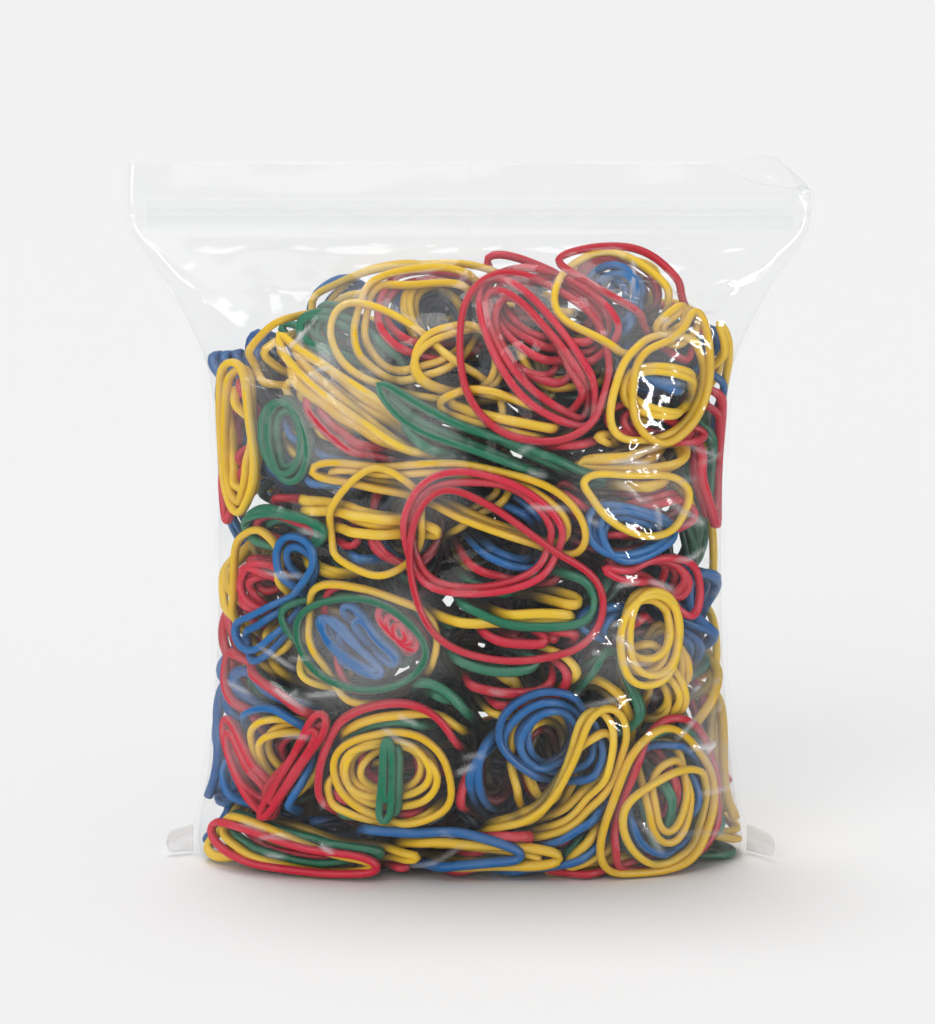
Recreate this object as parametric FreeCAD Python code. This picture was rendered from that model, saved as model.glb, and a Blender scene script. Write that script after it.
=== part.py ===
"""Resealable clear film bag, packed with coloured elastic bands and standing on its base.

The bag is one film folded at the bottom and welded up both sides, with a press-to-close
zip and two lips at the mouth. Its upper front and back films swing apart to open the zip.
The bands are soft: each is drawn here as a plain flattened loop of its real size.

Frame: millimetres, +Z up, X across the bag, -Y is the front, origin under the middle of the base.
"""

import FreeCAD
import Part

import math
import os

# The bag
film_thickness = 0.1
side_gap = 0.05          # each film's edge stands this far from the plane of the side welds
weld_width = 0.9
weld_thickness = 0.3
hinge_height = 86.0      # the mouth films fold forwards and backwards here
hinge_gap = 0.35         # free space between a wall and the mouth film above it
zip_height = 110.0
corner_reach = 4.2       # how far a flattened bottom corner stands out past the weld

# The bag's outline, from the base up: height, half width, half depth, flatness of the cross-section
outline = [
    (0.0, 46.0, 17.2, 3.0),
    (0.9, 46.4, 19.2, 2.9),
    (4.0, 46.8, 21.0, 2.8),
    (15.0, 45.0, 22.0, 2.6),
    (35.0, 43.2, 22.0, 2.6),
    (60.0, 42.6, 20.6, 2.8),
    (76.0, 43.2, 18.0, 3.3),
    (86.0, 44.6, 15.0, 4.0),
    (97.0, 49.8, 8.2, 6.5),
    (103.0, 53.8, 4.0, 11.0),
    (107.5, 56.4, 1.4, 24.0),
    (112.5, 57.0, 1.15, 30.0),
    (118.6, 57.0, 1.3, 30.0),
]

# The zip: a channel on the front film and an arrow-headed rib on the back film
zip_half_length = 54.0
zip_web_height = 4.8
zip_web_thickness = 0.2
zip_web_face = 0.9       # outer face of each web, from the middle of the bag
channel_half_opening = 0.50
channel_arm = 0.25
channel_depth = 1.0
rib_half_stem = 0.20
rib_half_head = 0.42
crush_half_thickness = 0.15

# The bands
band_length = 104.0      # round the middle of its thickness
band_thickness = 1.2
band_width = 1.6
loop_height = 4.4        # outer height of a band laid as a flattened loop
layer_gap = 0.2
fill_clearance = 0.6     # between a band and the film
fill_floor = 0.8
fill_top_shoulder = 91.0  # at the left shoulder of the bag, which stays empty
fill_top = 104.5
shoulder_edge = -22.5
cap_middle = 4.0         # the topmost loops lie round this x
region_half_depth = 6.5  # the middle third of the fill
region_heights = (33.0, 64.0)
colour_order = ["yellow", "red", "green", "yellow", "blue", "red", "yellow", "green", "red", "blue"]


def blend_rows(before, low, high, after, share):
    """The outline between two rows, as a smooth curve through all four."""
    s2, s3 = share * share, share ** 3
    weights = (-s3 + 2 * s2 - share, 3 * s3 - 5 * s2 + 2, -3 * s3 + 4 * s2 + share, s3 - s2)
    rows = (before, low, high, after)
    return tuple(sum(w * row[k] for w, row in zip(weights, rows)) / 2 for k in range(4))


def section(t):
    """Height, half width, half depth and flatness at t, the row number counted from the base."""
    last = len(outline) - 1
    i = min(max(int(t), 0), last - 1)
    return blend_rows(outline[max(i - 1, 0)], outline[i], outline[i + 1],
                      outline[min(i + 2, last)], t - i)


def row_at(height):
    """The row number, with its fraction, at which the outline reaches a height."""
    low, high = 0.0, len(outline) - 1.0
    for _ in range(40):
        middle = (low + high) / 2
        if section(middle)[0] < height:
            low = middle
        else:
            high = middle
    return (low + high) / 2


def film_point(t, turn, side):
    """A point of the outer face: turn runs from one side weld (-90 degrees) to the other (+90)."""
    height, half_width, half_depth, flatness = section(t)
    across = math.sin(turn)
    bulge = half_depth * math.sqrt(max(0.0, 1 - abs(across) ** flatness))
    return FreeCAD.Vector(half_width * across, side * (side_gap + bulge), height)


def film_normal(t, turn, side):
    """The outward direction of the film at a point of its outer face."""
    step_t, step_turn, edge = 0.01, 0.005, math.pi / 2
    turn_low, turn_high = max(turn - step_turn, -edge), min(turn + step_turn, edge)
    t_low, t_high = max(t - step_t, 0.0), min(t + step_t, len(outline) - 1.0)
    along = film_point(t, turn_high, side) - film_point(t, turn_low, side)
    up = film_point(t_high, turn, side) - film_point(t_low, turn, side)
    normal = along.cross(up) if side < 0 else up.cross(along)
    normal.normalize()
    return normal


def knots(count):
    """The knot multiplicities and values of a clamped cubic curve with this many poles."""
    values = list(range(count - 2))
    return [4] + [1] * (count - 4) + [4], values


def patch(points):
    """A smooth surface that follows a grid of points, with no ripples between them."""
    u_mults, u_knots = knots(len(points))
    v_mults, v_knots = knots(len(points[0]))
    surface = Part.BSplineSurface()
    surface.buildFromPolesMultsKnots(points, u_mults, v_mults, u_knots, v_knots, False, False, 3, 3)
    return surface


def closed_solid(faces):
    """One valid solid from the faces that enclose it."""
    shell = Part.Compound(faces)
    shell.sewShape()
    solid = Part.makeSolid(shell.Shells[0])
    solid.fix(1e-4, 1e-4, 1e-3)
    if solid.Volume < 0:
        solid.reverse()
    return solid


def film_sheet(low, high, side, rows, columns=41):
    """The film's wall between two heights, on the front (side -1) or the back (side +1)."""
    t_low, t_high = row_at(low), row_at(high)
    outer, inner = [], []
    for i in range(rows):
        t = t_low + (t_high - t_low) * i / (rows - 1)
        turns = [-math.pi / 2 + math.pi * j / (columns - 1) for j in range(columns)]
        outer.append([film_point(t, turn, side) for turn in turns])
        inner.append([film_point(t, turn, side) - film_normal(t, turn, side) * film_thickness
                      for turn in turns])
    faces = []
    edges = []
    for points in (outer, inner):
        surface = patch(points)
        face = surface.toShape()
        faces.append(face)
        u_low, u_high, v_low, v_high = surface.bounds()
        edges.append([surface.uIso(u_low), surface.uIso(u_high), surface.vIso(v_low), surface.vIso(v_high)])
    for outer_edge, inner_edge in zip(*edges):
        faces.append(Part.makeRuledSurface(outer_edge.toShape(), inner_edge.toShape()))
    return closed_solid(faces)


def plate(wire_edges, thickness, direction):
    """A flat plate inside a closed outline, made in one direction."""
    face = Part.Face(Part.Wire(wire_edges))
    return face.extrude(direction * thickness)


def smooth_edge(points):
    """One smooth edge through points."""
    curve = Part.BSplineCurve()
    curve.interpolate(points)
    return curve.toShape()


def base_panel():
    """The part of the film that lies flat under the fill."""
    _, half_width, half_depth, flatness = section(0)
    inset, columns = 0.2, 33
    halves = []
    for side in (-1, 1):
        points = []
        for j in range(columns):
            turn = side * (-math.pi / 2 + math.pi * j / (columns - 1))
            across = math.sin(turn)
            depth = (half_depth - inset) * math.sqrt(max(0.0, 1 - abs(across) ** flatness))
            points.append(FreeCAD.Vector((half_width - inset) * across, side * depth, 0))
        halves.append(smooth_edge(points))
    return plate(halves, film_thickness, FreeCAD.Vector(0, 0, 1))


def side_weld(side):
    """The melted seam that joins the front film to the back film along one side edge."""
    count, clearance = 40, 0.2
    inner, outer = [], []
    for i in range(count):
        height, half_width, _, _ = section(row_at(0.4) + (len(outline) - 1 - row_at(0.4)) * i / (count - 1))
        inner.append(FreeCAD.Vector(side * (half_width + clearance), -weld_thickness / 2, height))
        outer.append(FreeCAD.Vector(side * (half_width + weld_width), -weld_thickness / 2, height))
    edges = [smooth_edge(inner), Part.makeLine(inner[-1], outer[-1]),
             smooth_edge(list(reversed(outer))), Part.makeLine(outer[0], inner[0])]
    return plate(edges, weld_thickness, FreeCAD.Vector(0, 1, 0))


def bottom_corner(side):
    """The flattened corner of the pouch: a small double-film tab beside the base."""
    root = section(row_at(3.0))[1] + weld_width + 0.05
    tip = root + corner_reach
    low, high, tip_low, tip_high = 0.6, 6.4, 1.4, 5.6
    corners = [(root, low), (tip, tip_low), (tip + 0.4, (tip_low + tip_high) / 2), (tip, tip_high), (root, high)]
    points = [FreeCAD.Vector(side * x, -weld_thickness / 2, z) for x, z in corners]
    tip_arc = Part.Arc(points[1], points[2], points[3]).toShape()
    edges = [Part.makeLine(points[0], points[1]), tip_arc,
             Part.makeLine(points[3], points[4]), Part.makeLine(points[4], points[0])]
    return plate(edges, weld_thickness, FreeCAD.Vector(0, 1, 0))


def zip_strip(profile):
    """A zip profile, given as points (depth, height above the zip's middle), run along the mouth."""
    points = [FreeCAD.Vector(-zip_half_length, y, zip_height + z) for y, z in profile]
    points.append(points[0])
    face = Part.Face(Part.makePolygon(points))
    return face.extrude(FreeCAD.Vector(2 * zip_half_length, 0, 0))


def channel_profile():
    """The front half of the zip: a web with two hooked arms."""
    web_out, web_in = -zip_web_face, -zip_web_face + zip_web_thickness
    tip = web_in + channel_depth
    hook = channel_half_opening + channel_arm
    arm = hook + channel_arm
    upper = [(web_in, zip_web_height / 2), (web_in, arm), (tip, arm), (tip, channel_half_opening),
             (tip - channel_arm, channel_half_opening), (tip - channel_arm, hook), (web_in, hook)]
    lower = [(y, -z) for y, z in reversed(upper)]
    return [(web_out, zip_web_height / 2)] + upper + lower + [(web_out, -zip_web_height / 2)]


def rib_profile():
    """The back half of the zip: a web with an arrow-headed rib that lies in the channel."""
    web_out, web_in = zip_web_face, zip_web_face - zip_web_thickness
    shoulder, tip = -0.05, -0.35
    upper = [(web_in, zip_web_height / 2), (web_in, rib_half_stem), (shoulder, rib_half_stem),
             (shoulder, rib_half_head), (tip, rib_half_head / 2)]
    lower = [(y, -z) for y, z in reversed(upper)]
    return [(web_out, zip_web_height / 2)] + upper + lower + [(web_out, -zip_web_height / 2)]


def zip_end(side):
    """The crushed end of the zip, where the side weld flattens both halves."""
    start, end = zip_half_length + 0.3, zip_half_length + 1.8
    box = Part.makeBox(end - start, 2 * crush_half_thickness, zip_web_height)
    box.translate(FreeCAD.Vector(start if side > 0 else -end, -crush_half_thickness,
                                 zip_height - zip_web_height / 2))
    return box


def band(length_first):
    """One elastic band as a flattened loop in the XZ plane, lying along X or standing along Z."""
    radius = (loop_height - band_thickness) / 2
    straight = (band_length - 2 * math.pi * radius) / 2
    wires = []
    for offset in (band_thickness / 2, -band_thickness / 2):
        r, half = radius + offset, straight / 2
        corners = [FreeCAD.Vector(x, 0, z) for x, z in
                   ((-half, -r), (half, -r), (half + r, 0), (half, r), (-half, r), (-half - r, 0))]
        wires.append(Part.Wire([
            Part.makeLine(corners[0], corners[1]),
            Part.Arc(corners[1], corners[2], corners[3]).toShape(),
            Part.makeLine(corners[3], corners[4]),
            Part.Arc(corners[4], corners[5], corners[0]).toShape(),
        ]))
    ring = Part.Face(wires[0]).cut(Part.Face(wires[1]))
    loop = ring.Faces[0].extrude(FreeCAD.Vector(0, band_width, 0))
    if not length_first:
        loop.rotate(FreeCAD.Vector(0, 0, 0), FreeCAD.Vector(0, 1, 0), 90)
    return loop, straight + loop_height


def clear_half_width(z, depth):
    """Half the width that the film leaves free at a height and a distance from its middle plane."""
    _, half_width, half_depth, flatness = section(row_at(z))
    share = (depth + fill_clearance) / half_depth
    return (half_width - fill_clearance) * (1 - share ** 2) ** (1 / flatness) if share < 1 else 0.0


def fits(x, z, half_x, half_z, depth):
    """True if a loop of this outer size lies inside the film and under the top of the fill."""
    top = fill_top_shoulder if x - half_x < shoulder_edge else fill_top
    if z - half_z < fill_floor or z + half_z > top:
        return False
    heights = (z - half_z, z - half_z / 2, z, z + half_z / 2, z + half_z)
    return all(abs(x) + half_x < clear_half_width(height, depth) for height in heights)


def loop_places(length):
    """Where the loops lie: (x, first y, z, lies along X), layer by layer from front to back.

    Each layer has two storeys. A storey is a stack of lying loops beside a row of standing ones.
    Every other upper storey has lying loops only, up to the top of the fill.
    """
    pitch = band_width + layer_gap
    step = loop_height + layer_gap
    layers = int(outline[3][2] / pitch)
    for layer in range(-layers, layers + 1):
        depth = abs(layer) * pitch + band_width / 2
        for storey in range(2):
            base = fill_floor + storey * (length + layer_gap)
            cap = storey == 1 and layer % 2 == 1
            free_width = 2 * clear_half_width(base + length / 2, depth)
            columns = 0 if cap else max(0, int((free_width - length) / step))
            hand = 1 if storey or layer % 2 else -1
            start = -(length + columns * step) / 2
            for row in range(int(length / step)):
                x, z = cap_middle if cap else hand * (start + length / 2), base + step * (row + 0.5)
                if fits(x, z, length / 2, loop_height / 2, depth):
                    yield x, layer * pitch - band_width / 2, z, True
            for column in range(columns):
                x, z = hand * (start + length + step * (column + 0.5)), base + length / 2
                if fits(x, z, loop_height / 2, length / 2, depth):
                    yield x, layer * pitch - band_width / 2, z, False


def band_groups():
    """All the bands, as lists of solids by colour, depth and height."""
    (lying, length), (standing, _) = band(True), band(False)
    groups = {}
    for number, (x, y, z, along_x) in enumerate(loop_places(length)):
        middle = y + band_width / 2
        depth_name = "middle" if abs(middle) < region_half_depth else "front" if middle < 0 else "back"
        height_name = ("lower", "centre", "upper")[sum(z > limit for limit in region_heights)]
        colour = colour_order[(number * 3 + number // 10) % len(colour_order)]
        loop = (lying if along_x else standing).copy()
        loop.translate(FreeCAD.Vector(x, y, z))
        groups.setdefault(f"{colour}_bands_{depth_name}_{height_name}", []).append(loop)
    return groups


def main():
    os.makedirs("parts", exist_ok=True)
    top = outline[-1][0]
    nodes = {
        "base_panel": base_panel(),
        "front_wall": film_sheet(0.0, hinge_height, -1, 17),
        "back_wall": film_sheet(0.0, hinge_height, 1, 17),
        "front_mouth_film": film_sheet(hinge_height + hinge_gap, top, -1, 13),
        "back_mouth_film": film_sheet(hinge_height + hinge_gap, top, 1, 13),
        "left_side_weld": side_weld(-1),
        "right_side_weld": side_weld(1),
        "left_bottom_corner": bottom_corner(-1),
        "right_bottom_corner": bottom_corner(1),
        "zip_channel_strip": zip_strip(channel_profile()),
        "zip_rib_strip": zip_strip(rib_profile()),
        "left_zip_end": zip_end(-1),
        "right_zip_end": zip_end(1),
    }
    groups = band_groups()
    for name, loops in sorted(groups.items()):
        nodes[name] = Part.makeCompound(loops)
    for name, shape in nodes.items():
        shape.exportStep(f"parts/{name}.step")
        box = shape.BoundBox
        print(f"{name}: {len(shape.Solids)} solids, valid {shape.isValid()}, {shape.Volume:.1f} mm3, "
              f"x {box.XMin:.1f}..{box.XMax:.1f}, y {box.YMin:.1f}..{box.YMax:.1f}, z {box.ZMin:.1f}..{box.ZMax:.1f}")
    print("bands:", sum(len(loops) for loops in groups.values()), "nodes:", len(nodes))


main()
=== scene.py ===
import math

import bpy
import numpy as np
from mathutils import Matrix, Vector


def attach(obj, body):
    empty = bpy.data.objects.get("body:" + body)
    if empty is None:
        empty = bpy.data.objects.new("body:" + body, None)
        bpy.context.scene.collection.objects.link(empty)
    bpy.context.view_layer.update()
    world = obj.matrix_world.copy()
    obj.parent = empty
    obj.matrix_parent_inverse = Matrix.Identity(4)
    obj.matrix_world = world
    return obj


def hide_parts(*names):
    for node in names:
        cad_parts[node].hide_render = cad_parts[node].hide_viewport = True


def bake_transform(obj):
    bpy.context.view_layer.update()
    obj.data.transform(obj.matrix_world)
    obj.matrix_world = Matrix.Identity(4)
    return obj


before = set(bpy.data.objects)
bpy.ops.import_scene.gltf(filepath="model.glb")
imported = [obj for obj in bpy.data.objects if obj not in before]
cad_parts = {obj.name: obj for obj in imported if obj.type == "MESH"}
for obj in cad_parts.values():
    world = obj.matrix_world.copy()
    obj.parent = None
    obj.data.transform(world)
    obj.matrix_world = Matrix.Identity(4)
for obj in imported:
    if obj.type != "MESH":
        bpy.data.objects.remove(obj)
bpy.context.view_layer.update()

mm = 0.001

cameraView = {
    "target": (-0.0004, 0.0, 0.0597),
    "distance": 0.60,
    "elevation": 10.0,      # degrees above level
    "lens": 124.5,          # on a 36 mm wide sensor
}


# the eye sits at target + distance * (0, -cos e, sin e) and looks back along that line
def makeCamera(view):
    tilt = math.radians(view["elevation"])
    target = Vector(view["target"])
    eye = target + view["distance"] * Vector((0.0, -math.cos(tilt), math.sin(tilt)))
    data = bpy.data.cameras.new("studioCamera")
    data.lens = view["lens"]
    data.sensor_width = 36.0
    data.clip_start = 0.01
    camera = bpy.data.objects.new("studioCamera", data)
    bpy.context.scene.collection.objects.link(camera)
    camera.location = eye
    camera.rotation_euler = (target - eye).to_track_quat("-Z", "Y").to_euler()
    bpy.context.scene.camera = camera


makeCamera(cameraView)
print("camera placed")

# rows from the base up, in mm: height, half width, half depth, flatness of the cross-section
bag = {
    "outline": [
        (0.0, 46.0, 17.2, 3.0), (0.9, 46.4, 19.2, 2.9), (4.0, 46.8, 21.0, 2.8),
        (15.0, 45.0, 22.0, 2.6), (35.0, 43.2, 22.0, 2.6), (60.0, 42.6, 20.6, 2.8),
        (76.0, 43.2, 18.0, 3.3), (86.0, 44.6, 15.0, 4.0), (97.0, 49.8, 8.2, 6.5),
        (103.0, 53.8, 4.0, 11.0), (107.5, 56.4, 1.4, 24.0), (112.5, 57.0, 1.15, 30.0),
        (118.6, 57.0, 1.3, 30.0),
    ],
    "top": 118.6,
    "hinge": 86.0,          # the mouth films start here
    "halfLap": 57.0,        # half the bag's flat width: the film runs this far from its middle to a weld
    "filmGap": 0.05,
    "film": 0.1,
}


# Catmull-Rom through the rows, sampled densely: p(t) from the four rows round t
def outlineTable(rows, samples=900):
    rows = np.array(rows)
    last = len(rows) - 1
    t = np.linspace(0.0, last, samples)
    i = np.minimum(t.astype(int), last - 1)
    f = (t - i)[:, None]
    p0, p1, p2, p3 = rows[np.maximum(i - 1, 0)], rows[i], rows[i + 1], rows[np.minimum(i + 2, last)]
    return (p0 * (-f**3 + 2 * f**2 - f) + p1 * (3 * f**3 - 5 * f**2 + 2)
            + p2 * (-3 * f**3 + 4 * f**2 + f) + p3 * (f**3 - f**2)) / 2


outlineRows = outlineTable(bag["outline"])


# half width, half depth and flatness at height z, in mm, read off the dense rows
def outlineAt(z):
    return [np.interp(z, outlineRows[:, 0], outlineRows[:, k]) for k in (1, 2, 3)]


# the quarter section x = a sin(t), y = b sqrt(1 - sin(t)^m), by height and by arc length from the middle
lapTable = {"heights": np.linspace(0.0, bag["top"], 300), "laps": np.linspace(0.0, bag["halfLap"], 241)}


# x and y of the quarter section at even laps, stretched so that its last lap is half the flat width
def fillLapTable(table):
    turn = np.pi / 2 * (1 - (1 - np.linspace(0.0, 1.0, 500)) ** 1.6)
    a, b, m = [v[:, None] for v in outlineAt(table["heights"])]
    across = np.sin(turn)[None, :]
    x = a * across
    y = bag["filmGap"] + b * np.sqrt(np.maximum(0.0, 1 - across**m))
    step = np.hypot(np.diff(x, axis=1), np.diff(y, axis=1))
    lap = np.concatenate([np.zeros((len(x), 1)), np.cumsum(step, axis=1)], axis=1)
    lap *= bag["halfLap"] / lap[:, -1:]
    table["x"] = np.array([np.interp(table["laps"], row, xs) for row, xs in zip(lap, x)])
    table["y"] = np.array([np.interp(table["laps"], row, ys) for row, ys in zip(lap, y)])


fillLapTable(lapTable)


# a table's value at a height and a lap: the weighted mean of the four entries round it
def bilinear(grid, z, lap):
    zs, laps = lapTable["heights"], lapTable["laps"]
    i = np.clip(z / (zs[1] - zs[0]), 0, len(zs) - 1.001)
    j = np.clip(lap / (laps[1] - laps[0]), 0, len(laps) - 1.001)
    i0, j0 = i.astype(int), j.astype(int)
    fi, fj = i - i0, j - j0
    return ((grid[i0, j0] * (1 - fj) + grid[i0, j0 + 1] * fj) * (1 - fi)
            + (grid[i0 + 1, j0] * (1 - fj) + grid[i0 + 1, j0 + 1] * fj) * fi)


# a place inside the bag: s is the lap round the film from the middle of the front (+ to the right, 114 at
# the middle of the back), z the height and d the depth under the film; sections shrink alike
def insideBag(s, z, d):
    half = bag["halfLap"]
    s = (s + 2 * half) % (4 * half) - 2 * half
    atBack = np.abs(s) > half
    lap = np.where(atBack, 2 * half - np.abs(s), np.abs(s))
    a, b, _ = outlineAt(z)
    x = bilinear(lapTable["x"], z, lap) * np.where(s < 0, -1.0, 1.0)
    y = bilinear(lapTable["y"], z, lap) * np.where(atBack, 1.0, -1.0)
    return np.stack([x * (1 - d / a), y * (1 - d / b), z], axis=-1)


# the lap at which the front film passes x at height z
def lapOfX(x, z):
    row = lapTable["x"][int(np.clip(z / bag["top"] * 299, 0, 299))]
    return float(np.sign(x) * np.interp(abs(x), row, lapTable["laps"]))


print("outline ready")

bands = {
    "seed": 20,
    "length": 104.0,        # mm round the band
    "lengthSpread": 0.10,
    "ripple": 0.09,         # how far a loop's radius swells and shrinks
    "width": 1.6,
    "thickness": 1.2,
    "touch": 1.42,          # distance between the middles of two bands that touch
    "points": 96,
    "underFilm": 0.80,      # depth of the first band's middle
    "stiffRadius": 6.5,     # how tightly a band drapes over the ones outside it
    "cell": 0.4,
    "fanStep": 1.9,         # how far apart the bands of one bundle lie
    "beside": 1.5,          # the same for strands drawn side by side
    "shortest": 52.0,       # a drawn loop shorter than this is wound round more than once
    "roundsApart": 1.3,     # how far the rounds of one band lie apart
    "shade": 2.7,           # a band this far under the outermost one lies in full shade
    "backShade": 8.0,       # the heap is looser at the back, and light reaches deeper
    "spotsTried": 14,       # a new bundle takes the emptiest of this many places
    "most": 660,
    "crowdedAfter": 120,    # refusals after which the heap counts as crowded
    "refusedMost": 800,
    "middleGap": 0.8,       # no band's middle comes nearer than this to the bag's middle plane
    # the top of the heap: x, z
    "heapTop": [(-60, 84), (-43, 87), (-33, 94), (-22, 100), (-6, 102.5), (10, 104),
                (24, 105), (33, 103), (40, 96), (46, 89), (60, 86)],
}

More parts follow.
